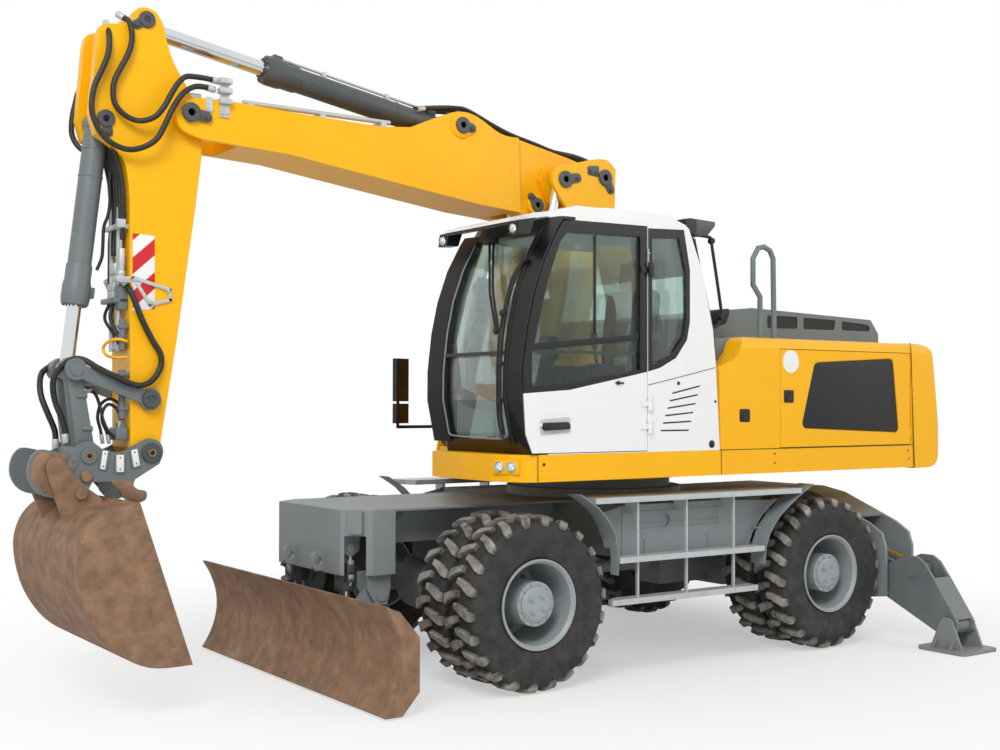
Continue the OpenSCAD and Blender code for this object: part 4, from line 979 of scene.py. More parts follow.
@dataclass
class ArmLines:
    """Hoses along the boom, over the joints and down the stick."""

    near: float = 0.068
    loop_radius: float = 0.017
    boom_radius: float = 0.014
    linkage_radius: float = 0.0175
    coupler_radius: float = 0.0095

    def build(self, materials: Materials) -> None:
        """Builds every hose of the arm.

        Args:
            materials: Materials by slot name.
        """
        near = self.near
        outer_loop = [
            (3.654, -0.02, 3.975), (3.655, 0.035, 3.911), (3.659, near, 3.852), (3.670, near + 0.01, 3.763),
            (3.704, near + 0.01, 3.670), (3.744, near + 0.01, 3.577), (3.761, near + 0.01, 3.488),
            (3.760, near + 0.01, 3.419), (3.737, near + 0.015, 3.347), (3.689, near + 0.02, 3.277),
            (3.619, near + 0.03, 3.232), (3.542, near + 0.04, 3.218), (3.458, near + 0.055, 3.245),
            (3.391, near + 0.065, 3.300), (3.343, near + 0.075, 3.395), (3.301, near + 0.08, 3.490),
            (3.239, near + 0.075, 3.582), (3.164, near + 0.06, 3.634), (3.088, near + 0.045, 3.645),
            (3.024, near + 0.03, 3.640)
        ]
        inner_loop = [
            (3.584, -0.02, 4.035), (3.540, 0.04, 3.990), (3.529, near, 3.932), (3.529, near + 0.005, 3.861),
            (3.552, near + 0.01, 3.781), (3.593, near + 0.01, 3.698), (3.628, near + 0.01, 3.623),
            (3.639, near + 0.01, 3.551), (3.627, near + 0.015, 3.477), (3.579, near + 0.02, 3.425),
            (3.519, near + 0.03, 3.397), (3.459, near + 0.045, 3.398), (3.399, near + 0.06, 3.430),
            (3.350, near + 0.07, 3.495), (3.314, near + 0.075, 3.566), (3.265, near + 0.07, 3.644),
            (3.215, near + 0.055, 3.688), (3.152, near + 0.04, 3.700), (3.070, near + 0.03, 3.702),
            (2.986, near + 0.02, 3.698)
        ]
        Hose(
            "stick_loop_outer", outer_loop, self.loop_radius, ("stick", "upper_boom"), (3.55, 0.1, 3.25),
            (3.20, 0.1, 3.60)
        ).build(materials)
        Hose(
            "stick_loop_inner", inner_loop, self.loop_radius, ("stick", "upper_boom"), (3.55, 0.1, 3.42),
            (3.20, 0.1, 3.68)
        ).build(materials)
        for index, (y, lift) in enumerate((
            (-0.03, 0.0), (-0.075, 0.014), (-0.12, 0.006), (-0.20, 0.0), (-0.245, 0.012)
        )):
            top = [
                (1.50, 3.745), (1.396, 3.765), (1.192, 3.792), (1.092, 3.780), (0.897, 3.705), (0.741, 3.655),
                (0.546, 3.615), (0.346, 3.575), (0.132, 3.560), (-0.02, 3.525), (-0.105, 3.46), (-0.145, 3.38),
                (-0.150, 3.27), (-0.120, 3.15), (-0.080, 3.02), (-0.03, 2.85)
            ]
            points = [(x, y + 0.02 * math.sin(2.5 * x + index), z + lift) for x, z in top]
            Hose(
                f"boom_hose_{index}", points, self.boom_radius, ("upper_boom", "base_boom"), (0.35, y, 3.60),
                (-0.1, y, 3.1), index == 0
            ).build(materials)
        self.linkage(materials)
        self.front_bundle(materials)

    def linkage(self, materials: Materials) -> None:
        """Builds the hoses from the stick over the linkage to the coupler.

        Args:
            materials: Materials by slot name.
        """
        down = [
            (3.560, 0.010, 2.480), (3.530, 0.030, 2.430), (3.499, 0.052, 2.361), (3.453, 0.065, 2.236),
            (3.389, 0.066, 2.115), (3.340, 0.068, 2.034), (3.340, 0.070, 1.953), (3.392, 0.080, 1.877),
            (3.460, 0.095, 1.846), (3.532, 0.105, 1.856), (3.633, 0.105, 1.901), (3.722, 0.090, 1.946)
        ]
        near = down + [
            (3.791, 0.060, 1.990), (3.848, 0.030, 1.992), (3.905, 0.000, 1.945), (3.935, -0.020, 1.885),
            (3.936, -0.030, 1.814), (3.917, -0.035, 1.735), (3.886, -0.030, 1.656), (3.866, -0.030, 1.577),
            (3.862, -0.030, 1.511)
        ]
        far = [(x, -0.24 - y, z) for x, y, z in down] + [
            (3.800, -0.30, 1.975), (3.860, -0.28, 1.965), (3.932, -0.25, 1.925), (3.968, -0.18, 1.856),
            (3.972, -0.13, 1.775), (3.944, -0.10, 1.682), (3.910, -0.10, 1.602), (3.900, -0.10, 1.560),
            (3.896, -0.10, 1.480)
        ]
        for name, line in (("linkage_hose_near", near), ("linkage_hose_far", far)):
            Hose(
                name, line, self.linkage_radius, ("stick", "bucket"), (3.56, 0.0, 1.88), (3.90, 0.0, 1.62)
            ).build(materials)
        for index, line in enumerate((
            [
                (3.535, -0.040, 1.590), (3.524, -0.040, 1.654), (3.549, -0.040, 1.735), (3.604, -0.040, 1.766),
                (3.655, -0.045, 1.735), (3.672, -0.05, 1.660), (3.655, -0.05, 1.587), (3.640, -0.05, 1.505)
            ],
            [
                (3.555, -0.020, 1.590), (3.548, -0.020, 1.641), (3.569, -0.020, 1.708), (3.617, -0.020, 1.735),
                (3.650, -0.020, 1.700), (3.655, -0.020, 1.640), (3.628, -0.020, 1.574), (3.612, -0.020, 1.505)
            ],
            [
                (3.530, 0.000, 1.545), (3.581, 0.000, 1.541), (3.622, 0.000, 1.575), (3.655, 0.000, 1.642),
                (3.668, -0.01, 1.709), (3.690, -0.03, 1.790), (3.722, -0.050, 1.812), (3.757, -0.060, 1.800)
            ],
        )):
            Hose(
                f"coupler_loop_{index}", line, self.coupler_radius, ("stick", "bucket"), (3.55, 0.0, 1.66),
                (3.66, 0.0, 1.62)
            ).build(materials)

    def front_bundle(self, materials: Materials) -> None:
        """Lays the bundle of hoses, clamps and couplings down the front of the stick.

        Args:
            materials: Materials by slot name.
        """
        hoses, steel, dark, ring = Shape(), Shape(), Shape(), Shape()
        for y, low, radius in (
            (0.012, 2.640, 0.014), (-0.035, 2.800, 0.014), (-0.090, 2.560, 0.017), (-0.140, 2.560, 0.017),
            (-0.200, 2.300, 0.015)
        ):
            line = [
                (3.640, y * 0.8 - 0.02, 3.300), (3.612, y * 0.9 - 0.01, 3.240), (3.583, y, 3.150),
                (3.562, y, 3.050), (3.553, y, 2.920), (3.552, y + 0.004, 2.790)
            ]
            line += [(3.556, y, z) for z in (2.700, 2.620, 2.500, 2.400, 2.300) if z >= low]
            hoses.tube(line, radius, 3, 4)
        hoses.tube([
            (3.585, -0.125, 2.325), (3.600, -0.150, 2.270), (3.596, -0.150, 2.225), (3.570, -0.100, 2.160),
            (3.553, -0.040, 2.090)
        ], 0.010, 3, 4)
        hoses.tube([
            (3.575, -0.085, 2.330), (3.590, -0.085, 2.250), (3.572, -0.050, 2.170), (3.550, -0.010, 2.110)
        ], 0.012, 3, 4)
        hoses.finish("stick_front_hoses", materials["hose"], "stick", Slot.HOSE)
        steel.block((3.518, -0.225, 2.765), (3.588, 0.020, 2.795), 0.005)
        steel.block((3.540, -0.005, 2.770), (3.592, 0.032, 2.822), 0.005)
        steel.drum((3.558, 0.012, 2.650), (3.560, 0.012, 2.520), 0.019, bevel=0.003)
        steel.drum((3.560, 0.012, 2.520), (3.560, 0.010, 2.480), 0.024, sides=6, bevel=0.002)
        steel.block((3.516, -0.010, 2.452), (3.600, 0.050, 2.485), 0.005)
        steel.plate([
            (3.516, 0.020, 2.448), (3.600, 0.020, 2.448), (3.560, 0.085, 2.446), (3.516, 0.090, 2.446)
        ], (0, 0, 0.008), 0.002)
        for y in (-0.090, -0.140):
            steel.drum((3.556, y, 2.570), (3.557, y, 2.505), 0.022, bevel=0.003)
            steel.drum((3.560, y, 2.505), (3.566, y, 2.440), 0.010)
            steel.drum((3.566, y, 2.445), (3.570, y, 2.405), 0.023, sides=6, bevel=0.002)
            steel.drum((3.570, y, 2.405), (3.575, y, 2.350), 0.018, sides=6, bevel=0.002)
        steel.drum((3.545, -0.035, 2.800), (3.545, -0.035, 2.420), 0.008)
        steel.finish("stick_front_fittings", materials["step"], "stick", Slot.STEP)
        dark.block((3.514, -0.225, 2.330), (3.606, 0.012, 2.362), 0.008)
        dark.block((3.514, -0.060, 2.290), (3.572, 0.012, 2.440), 0.008)
        dark.drum((3.548, 0.004, 2.235), (3.548, 0.004, 2.055), 0.020)
        dark.drum((3.548, 0.004, 1.935), (3.548, 0.004, 1.650), 0.020)
        dark.block((3.512, -0.105, 1.525), (3.588, 0.022, 1.600), 0.010)
        for y in (-0.085, -0.040, -0.020, 0.004):
            dark.drum((3.540, y, 1.595), (3.540, y, 1.625), 0.013, sides=6)
        for z in (2.180, 1.900, 1.700):
            dark.block((3.514, -0.022, z), (3.572, 0.030, z + 0.022), 0.004)
        dark.finish("stick_front_bracket", materials["grey_painted_light_and_shade"], "stick", Slot.ARM)
        ring.tube([
            (3.530, 0.036, 2.104), (3.585, 0.020, 2.116), (3.622, -0.040, 2.098), (3.634, -0.075, 2.062),
            (3.620, -0.050, 2.022), (3.580, 0.010, 2.008), (3.530, 0.036, 2.012)
        ], 0.009, 3, 5)
        ring.finish("stick_hose_guide", materials["yellow"], "stick", Slot.YELLOW)
        side = Shape()
        side.tube([
            (3.587, -0.10, 3.300), (3.587, -0.10, 3.194), (3.582, -0.10, 3.149), (3.596, -0.10, 3.056),
            (3.592, -0.10, 2.947), (3.603, -0.10, 2.856), (3.628, -0.10, 2.781), (3.633, -0.10, 2.672),
            (3.639, -0.10, 2.599), (3.668, -0.10, 2.525)
        ], 0.010, 3, 4)
        side.tube([
            (3.640, -0.30, 3.620), (3.713, -0.30, 3.622), (3.743, -0.30, 3.528), (3.760, -0.30, 3.436),
            (3.759, -0.30, 3.346), (3.728, -0.28, 3.277), (3.686, -0.24, 3.239), (3.640, -0.20, 3.225)
        ], 0.0165, 3, 4)
        side.finish("stick_side_hoses", materials["hose"], "stick", Slot.HOSE)


def capsule(
    first: Point2, second: Point2, radius: float, other: float | None = None, steps: int = 8
) -> list[Point2]:
    """Outline of a bar with round ends in the side view.

    Args:
        first: Middle of the first end.
        second: Middle of the second end.
        radius: Radius of the first end.
        other: Radius of the second end, the same if left out.
        steps: Steps round each end.

    Returns:
        The outline's points in order.
    """
    lean = math.atan2(second[1] - first[1], second[0] - first[0])
    other = radius if other is None else other
    points = []
    for (x, z), size, start in ((second, other, lean - math.pi / 2), (first, radius, lean + math.pi / 2)):
        for step in range(steps + 1):
            turn = start + math.pi * step / steps
            points.append((x + size * math.cos(turn), z + size * math.sin(turn)))
    return points


def rounded(corners: list[Point2], radius: float, steps: int = 4) -> list[Point2]:
    """Rounds the corners of an outline.

    Args:
        corners: Corners in order.
        radius: How far from each corner the rounding starts.
        steps: Steps of each rounding.

    Returns:
        The rounded outline.
    """
    points = []
    for before, corner, after in zip(corners[-1:] + corners[:-1], corners, corners[1:] + corners[:1]):
        middle = Vector(corner)
        first = middle + (Vector(before) - middle).normalized() * radius
        last = middle + (Vector(after) - middle).normalized() * radius
        for step in range(steps + 1):
            t = step / steps
            spot = first * (1 - t) ** 2 + middle * 2 * t * (1 - t) + last * t * t
            points.append((spot.x, spot.y))
    return points


def rectangle(low: Point2, high: Point2, radius: float) -> list[Point2]:
    """Outline of a rectangle with rounded corners.

    Args:
        low: Its lowest corner.
        high: Its highest corner.
        radius: How far from each corner the rounding starts.

    Returns:
        The rounded outline.
    """
    return rounded([low, (high[0], low[1]), high, (low[0], high[1])], radius)


def side_point(place: Point2, y: float = ARM_Y) -> Point:
    """Puts a point of the side view at a place across the machine.

    Args:
        place: Point as (x, z).
        y: Place across the machine.

    Returns:
        The point in space.
    """
    return (place[0], y, place[1])


def round_about(middle: Point2, radius: float, count: int, start: float) -> list[Point2]:
    """Spreads places evenly round a circle in the side view.

    Args:
        middle: Middle of the circle.
        radius: Its radius.
        count: Number of places.
        start: Place of the first one, in steps.

    Returns:
        The places.
    """
    turns = [math.tau * (index + start) / count for index in range(count)]
    return [(middle[0] + radius * math.cos(turn), middle[1] + radius * math.sin(turn)) for turn in turns]


@dataclass
class ArmTrim:
    """Pin ends, keeper plates and small plates on the faces of the boom, the stick and the coupler."""

    boom_half: float = 0.230
    stick_half: float = 0.160

    def pin_end(
        self, shape: Shape, pin: Point2, y: float, side: int, radius: float, tail: Point2 | None = None
    ) -> None:
        """Adds the end of a pin with its keeper plate and bolt.

        Args:
            shape: Shape that takes it.
            pin: Middle of the pin in the side view.
            y: Face that it lies on.
            side: 1 on the left, -1 on the right.
            radius: Radius of the pin's head.
            tail: Place of the keeper's bolt, none if left out.
        """
        profile = [
            (0.0, -0.004), (radius, -0.004), (radius, 0.011), (radius * 0.93, 0.016), (radius * 0.42, 0.016),
            (radius * 0.36, 0.009), (0.0, 0.009)
        ]
        shape.cap((pin[0], y, pin[1]), (0, side, 0), profile, 36)
        if tail is None:
            return
        plate = capsule(pin, tail, radius * 0.62, radius * 0.55)
        shape.side_plate(plate, y - side * 0.003, side * 0.012, 0.002)
        shape.bolt((tail[0], y + side * 0.009, tail[1]), (0, side, 0), 0.013)

    def build(self, materials: Materials) -> None:
        """Builds the trim of both sides.

        Args:
            materials: Materials by slot name.
        """
        boom, stick, head = Shape(), Shape(), Shape()
        boss, raised = Shape(), Shape()
        for side in (1, -1):
            face = ARM_Y + side * (self.boom_half + 0.012)
            self.pin_end(boom, STICK_PIN, face, side, 0.058, (3.080, 3.462))
            face = ARM_Y + side * self.boom_half
            boss.cap(
                side_point(STICK_CYLINDER_FOOT, face), (0, side, 0),
                [(0.0, -0.003), (0.088, -0.003), (0.088, 0.008), (0.082, 0.012), (0.0, 0.012)], 40
            )
            self.pin_end(boom, STICK_CYLINDER_FOOT, face + side * 0.012, side, 0.056, (1.165, 3.628))
            boss.cap(
                side_point(ADJUST_CYLINDER_EYE, face), (0, side, 0),
                [(0.0, -0.03), (0.075, -0.03), (0.075, 0.004), (0.070, 0.008), (0.0, 0.008)], 40
            )
            self.pin_end(boom, ADJUST_CYLINDER_EYE, face + side * 0.008, side, 0.050, (0.660, 3.205))
            # Head of the base boom with the eyes of the hoist cylinders
            outer = ARM_Y + side * 0.391
            self.pin_end(head, HOIST_CYLINDER_EYE, outer, side, 0.060, (0.365, 3.345))
            self.pin_end(head, BOOM_PIN, outer, side, 0.060, (0.060, 3.290))
            head.side_plate(
                rounded([(0.17, 3.37), (0.27, 3.38), (0.27, 3.44), (0.17, 3.45)], 0.012), outer - side * 0.002,
                side * 0.010, 0.002
            )
            for x, z in ((0.19, 3.40), (0.25, 3.41)):
                head.bolt((x, outer + side * 0.008, z), (0, side, 0), 0.009)
            # Stick pins
            face = ARM_Y + side * self.stick_half
            self.pin_end(stick, STICK_CYLINDER_EYE, face, side, 0.050, (3.490, 3.975))
            self.pin_end(stick, BUCKET_CYLINDER_FOOT, face, side, 0.052, (3.655, 3.318))
            end = ARM_Y + side * 0.200
            self.pin_end(stick, LEVER_PIN, end, side, 0.052)
            self.pin_end(stick, BUCKET_PIN, end, side, 0.060)
            for index in range(3):
                turn = math.tau * index / 3 + 0.5
                px, pz = LEVER_PIN[0] + 0.034 * math.cos(turn), LEVER_PIN[1] + 0.034 * math.sin(turn)
                stick.bolt((px, end + side * 0.014, pz), (0, side, 0), 0.007)
            # Small raised plates on the stick
            raised.side_plate(
                rounded([(3.275, 3.255), (3.335, 3.262), (3.325, 3.355), (3.265, 3.348)], 0.006),
                face - side * 0.001, side * 0.003, 0.001
            )
        boom.finish("boom_pin_ends", materials["arm_grey"], "upper_boom", Slot.ARM)
        boss.finish("boom_bosses", materials["yellow"], "upper_boom", Slot.YELLOW)
        head.finish("boom_head_pin_ends", materials["arm_grey"], "base_boom", Slot.ARM)
        stick.finish("stick_pin_ends", materials["arm_grey"], "stick", Slot.ARM)
        raised.finish("stick_plates", materials["yellow"], "stick", Slot.YELLOW)
        self.clamp_plate(materials)
        self.stick_panel(materials)
        self.coupler_trim(materials)

    def coupler_trim(self, materials: Materials) -> None:
        """Adds the pins, plates and rusted hooks of the coupler, and the cheeks of the link.

        Args:
            materials: Materials by slot name.
        """
        grey, plates, rust, dark, cheeks = Shape(), Shape(), Shape(), Shape(), Shape()
        for side in (1, -1):
            face = ARM_Y + side * 0.200
            ring = [
                (0.0, -0.003), (0.047, -0.003), (0.047, 0.009), (0.043, 0.013), (0.026, 0.013), (0.026, 0.004),
                (0.0, 0.004)
            ]
            grey.cap(side_point(LINK_CAP, face), (0, side, 0), ring, 36)
            for x, z in (LINK_CAP, BUCKET_PIN):
                lift = 0.0 if x > 3.5 else 0.010
                rust.turned(
                    (x, face + side * lift, z), (0, side, 0),
                    [(0.014, 0.004), (0.025, 0.004), (0.025, 0.014), (0.014, 0.014)], 28
                )
                # The dark disc fills the pin's bore as painted shade
                dark.cap(
                    (x, face + side * lift, z), (0, side, 0),
                    [(0.0, 0.005), (0.0145, 0.005), (0.0145, 0.010), (0.0, 0.010)], 24
                )
            for corners, bare in (
                (
                    [(3.692, 1.478), (3.638, 1.467), (3.657, 1.349), (3.707, 1.360)],
                    [(3.685, 1.470), (3.655, 1.466), (3.671, 1.359), (3.699, 1.365)]
                ),
                (
                    [(3.613, 1.450), (3.554, 1.449), (3.553, 1.332), (3.617, 1.334)],
                    [(3.605, 1.443), (3.562, 1.442), (3.561, 1.343), (3.604, 1.344)]
                ),
                (
                    [(3.530, 1.465), (3.478, 1.481), (3.458, 1.370), (3.509, 1.358)],
                    [(3.519, 1.467), (3.483, 1.476), (3.465, 1.380), (3.502, 1.368)]
                ),
            ):
                grey.side_plate(rounded(corners, 0.008), face - side * 0.001, side * 0.009, 0.002)
                # The white of the bare steel faces is a painted reflection
                plates.side_plate(rounded(bare, 0.004), face + side * 0.007, side * 0.0035, 0.001)
                top, low = (Vector(bare[0]) + Vector(bare[1])) / 2, (Vector(bare[2]) + Vector(bare[3])) / 2
                # Dark dots at the plates' holes are painted shade
                for share in (0.16, 0.84):
                    spot = top.lerp(low, share)
                    dark.cap(
                        (spot.x, face + side * 0.0095, spot.y), (0, side, 0),
                        [(0.0, 0.0), (0.005, 0.0), (0.004, 0.003), (0.0, 0.0035)], 12
                    )
            grey.side_plate(
                capsule((3.849, 1.412), (3.881, 1.348), 0.026), face - side * 0.001, side * 0.008, 0.002
            )
            for x, z in ((3.851, 1.410), (3.865, 1.380), (3.880, 1.350)):
                rust.side_plate(
                    rectangle((x - 0.011, z - 0.009), (x + 0.011, z + 0.009), 0.003), face + side * 0.005,
                    side * 0.004, 0.001
                )
            rust.cap(
                (3.776, face, 1.323), (0, side, 0),
                [(0.0, -0.002), (0.034, -0.002), (0.034, 0.012), (0.030, 0.016), (0.0, 0.016)], 28
            )
            rust.side_plate([
                (3.872, 1.446), (3.950, 1.460), (4.033, 1.470), (4.082, 1.414), (4.087, 1.323), (4.033, 1.244),
                (3.930, 1.209), (3.850, 1.197), (3.862, 1.270), (3.905, 1.330), (3.900, 1.400)
            ], face - side * 0.001, side * 0.003, 0.001)
            rust.side_plate([
                (3.568, 1.222), (3.528, 1.178), (3.470, 1.166), (3.431, 1.185), (3.430, 1.220), (3.473, 1.232),
                (3.508, 1.258), (3.500, 1.290), (3.640, 1.296)
            ], face - side * 0.001, side * 0.003, 0.001)
            rust.cap(
                (3.817, ARM_Y + side * 0.240, 1.227), (0, side, 0),
                [(0.0, -0.004), (0.034, -0.004), (0.034, 0.014), (0.029, 0.020), (0.0, 0.020)], 32
            )
            inner = ARM_Y + side * 0.119
            cheeks.side_plate(
                capsule(BUCKET_CYLINDER_EYE, (3.765, 1.480), 0.042, 0.052), inner, side * 0.030, 0.003
            )
            for z, x in ((1.784, 3.790), (1.595, 3.757)):
                cheeks.drum(
                    (x - 0.030, inner + side * 0.026, z), (x + 0.030, inner + side * 0.026, z), 0.017, bevel=0.002
                )
        grey.finish("coupler_plates", materials["grey_painted_light_and_shade"], "bucket", Slot.ARM)
        plates.finish("coupler_bare_plates_painted_reflection", materials["white"], "bucket", Slot.WHITE)
        rust.finish("coupler_rusted_ends", materials["rust"], "bucket", Slot.RUST)
        dark.finish("coupler_holes_painted_shade", materials["black_plastic"], "bucket", Slot.BLACK)
        cheeks.finish("link_cheeks", materials["grey_painted_light_and_shade"], "link", Slot.ARM)

    def clamp_plate(self, materials: Materials) -> None:
        """Adds the bolted clamp of the hoses at the boom's tip and the light bracket of the tip pin.

        Args:
            materials: Materials by slot name.
        """
        shape = Shape()
        for side in (1, -1):
            face = ARM_Y + side * self.boom_half
            shape.side_plate(
                rectangle((2.935, 3.475), (2.995, 3.715), 0.006), face - side * 0.001, side * 0.010, 0.002
            )
            for index in range(4):
                z = 3.500 + 0.062 * index
                for x in (2.950, 2.980):
                    shape.bolt((x, face + side * 0.008, z), (0, side, 0), 0.008)
            for z in (3.575, 3.640, 3.700):
                shape.block(
                    (2.925, face - side * 0.002 - 0.02, z - 0.020),
                    (3.005, face - side * 0.002 + 0.02 + side * 0.02, z + 0.014), 0.004
                )
            shape.side_plate(
                rectangle((3.040, 3.500), (3.085, 3.590), 0.01), face - side * 0.001, side * 0.008, 0.002
            )
        shape.finish("hose_clamps_boom_tip", materials["step"], "upper_boom", Slot.STEP)

    def stick_panel(self, materials: Materials) -> None:
        """Adds the striped panel and the open bracket with hooks on each face of the stick.

        Args:
            materials: Materials by slot name.
        """
        panel, bracket = Shape(), Shape()
        for side in (1, -1):
            face = ARM_Y + side * self.stick_half
            outline = rounded([(3.503, 2.741), (3.369, 2.733), (3.366, 2.300), (3.499, 2.283)], 0.006)
            panel.side_plate(outline, face - side * 0.0005, side * 0.0025, 0.0005)
            line = [(3.501, 2.478), (3.275, 2.417), (3.274, 2.358), (3.397, 2.323), (3.501, 2.478)]
            for first, second in zip(line, line[1:]):
                bar = capsule(first, second, 0.011)
                bracket.side_plate(bar, face - side * 0.002, side * 0.014, 0.002)
            for x, z in ((3.49, 2.468), (3.285, 2.41), (3.39, 2.335)):
                bracket.bolt((x, face + side * 0.010, z), (0, side, 0), 0.010)
        panel.finish("striped_panels", materials["striped_film"], "stick", Slot.WHITE)
        bracket.finish("stick_brackets", materials["step"], "stick", Slot.STEP)


@dataclass
class CylinderTrim:
    """Gland, bolts, ports and hard pipe of one hydraulic cylinder."""

    name: str
    base: Point
    eye: Point
    length: float
    radius: float
    body: str
    up: Point = (0.0, 0.0, 1.0)
    pipe: bool = True
    finish: str = "arm_grey"
    cap: float = 0.110

    def build(self, materials: Materials) -> None:
        """Builds the trim round the barrel.

        Args:
            materials: Materials by slot name.
        """
        base, radius = Vector(self.base), self.radius
        along = (Vector(self.eye) - base).normalized()
        lift = Vector(self.up)
        lift = (lift - along * lift.dot(along)).normalized()
        across = along.cross(lift)
        basis = Matrix((along, across, lift)).transposed().to_4x4()
        shape = Shape()
        end = base + along * self.length
        cap = self.cap
        gland = [
            (radius * 0.96, -cap * 2.1), (radius * 1.06, -cap * 2.1), (radius * 1.10, -cap * 2.0),
            (radius * 1.10, -cap * 1.25), (radius * 1.20, -cap), (radius * 1.22, -cap * 0.3),
            (radius * 1.18, -0.010), (radius * 1.14, 0.006), (radius * 0.70, 0.010), (radius * 0.70, -cap * 2.1)
        ]
        shape.turned(end, along, gland, 48)
        bolts = 8
        for index in range(bolts):
            turn = math.tau * (index + 0.5) / bolts
            out = lift * math.cos(turn) + across * math.sin(turn)
            place = end + out * radius * 0.90 + along * 0.009
            shape.bolt(place, along, 0.009)
        for place in (0.16, 0.30 * self.length):
            spot = base + along * place
            shape.turned(
                spot, along,
                [
                    (radius * 0.97, -0.006), (radius * 1.035, -0.006), (radius * 1.05, 0.0),
                    (radius * 1.035, 0.006), (radius * 0.97, 0.006)
                ],
                48
            )
        for place in (0.13, self.length - 0.075):
            spot = base + along * place + lift * radius * 0.9
            made = shape.block((-0.032, -0.026, 0.0), (0.032, 0.026, radius * 0.1 + 0.034), 0.004)
            bmesh.ops.transform(shape.mesh, matrix=Matrix.Translation(spot) @ basis, verts=made)
        shape.finish(self.name + "_gland", materials[self.finish], self.body, Slot.ARM)
        if not self.pipe:
            return
        pipe = Shape()
        rise = lift * (radius + 0.022)
        low = base + along * 0.13
        pipe.tube([
            low + lift * (radius + 0.005), low + along * 0.02 + rise, low + along * 0.10 + rise,
            end - along * 0.20 + rise, end - along * 0.10 + rise, end - along * 0.075 + lift * (radius + 0.005)
        ], 0.009, 3, 3)
        for share in (0.35, 0.7):
            spot = base + along * self.length * share
            made = pipe.block((-0.014, -0.018, -0.004), (0.014, 0.018, 0.036), 0.003)
            bmesh.ops.transform(pipe.mesh, matrix=Matrix.Translation(spot + lift * radius) @ basis, verts=made)
        pipe.finish(self.name + "_pipe", materials["step"], self.body, Slot.STEP)


def cylinders() -> list[CylinderTrim]:
    """Lists the hydraulic cylinders with their pins in the record's frame.

    Returns:
        The cylinders, in the order in which they are built.
    """
    found = [
        CylinderTrim(
            "stick_cylinder", side_point(STICK_CYLINDER_FOOT), side_point(STICK_CYLINDER_EYE), 1.38, 0.078,
            "stick_cylinder"
        ),
        # The bucket cylinder's lighter grey is partly a painted highlight
        CylinderTrim(
            "bucket_cylinder", side_point(BUCKET_CYLINDER_FOOT), side_point(BUCKET_CYLINDER_EYE), 1.08, 0.068,
            "bucket_cylinder", (-1.0, 0.0, 0.0), False, "grey_painted_light_and_shade"
        ),
        CylinderTrim(
            "adjust_cylinder", side_point(ADJUST_CYLINDER_FOOT), side_point(ADJUST_CYLINDER_EYE), 0.69, 0.085,
            "adjust_cylinder", (1.0, 0.0, 0.0)
        )
    ]
    for side, word in ((1, "left"), (-1, "right")):
        y = ARM_Y + side * 0.317
        found.append(CylinderTrim(
            "hoist_cylinder_" + word, side_point(HOIST_CYLINDER_FOOT, y), side_point(HOIST_CYLINDER_EYE, y), 1.18,
            0.070, "hoist_cylinders", (1.0, 0.0, 0.0)
        ))
        found.append(CylinderTrim(
            "blade_cylinder_" + word, (2.235, side * 0.310, 0.850), (2.235, side * 0.310, 0.420), 0.255, 0.052,
            "blade_cylinders", (0.0, side, 0.0)
        ))
    return found


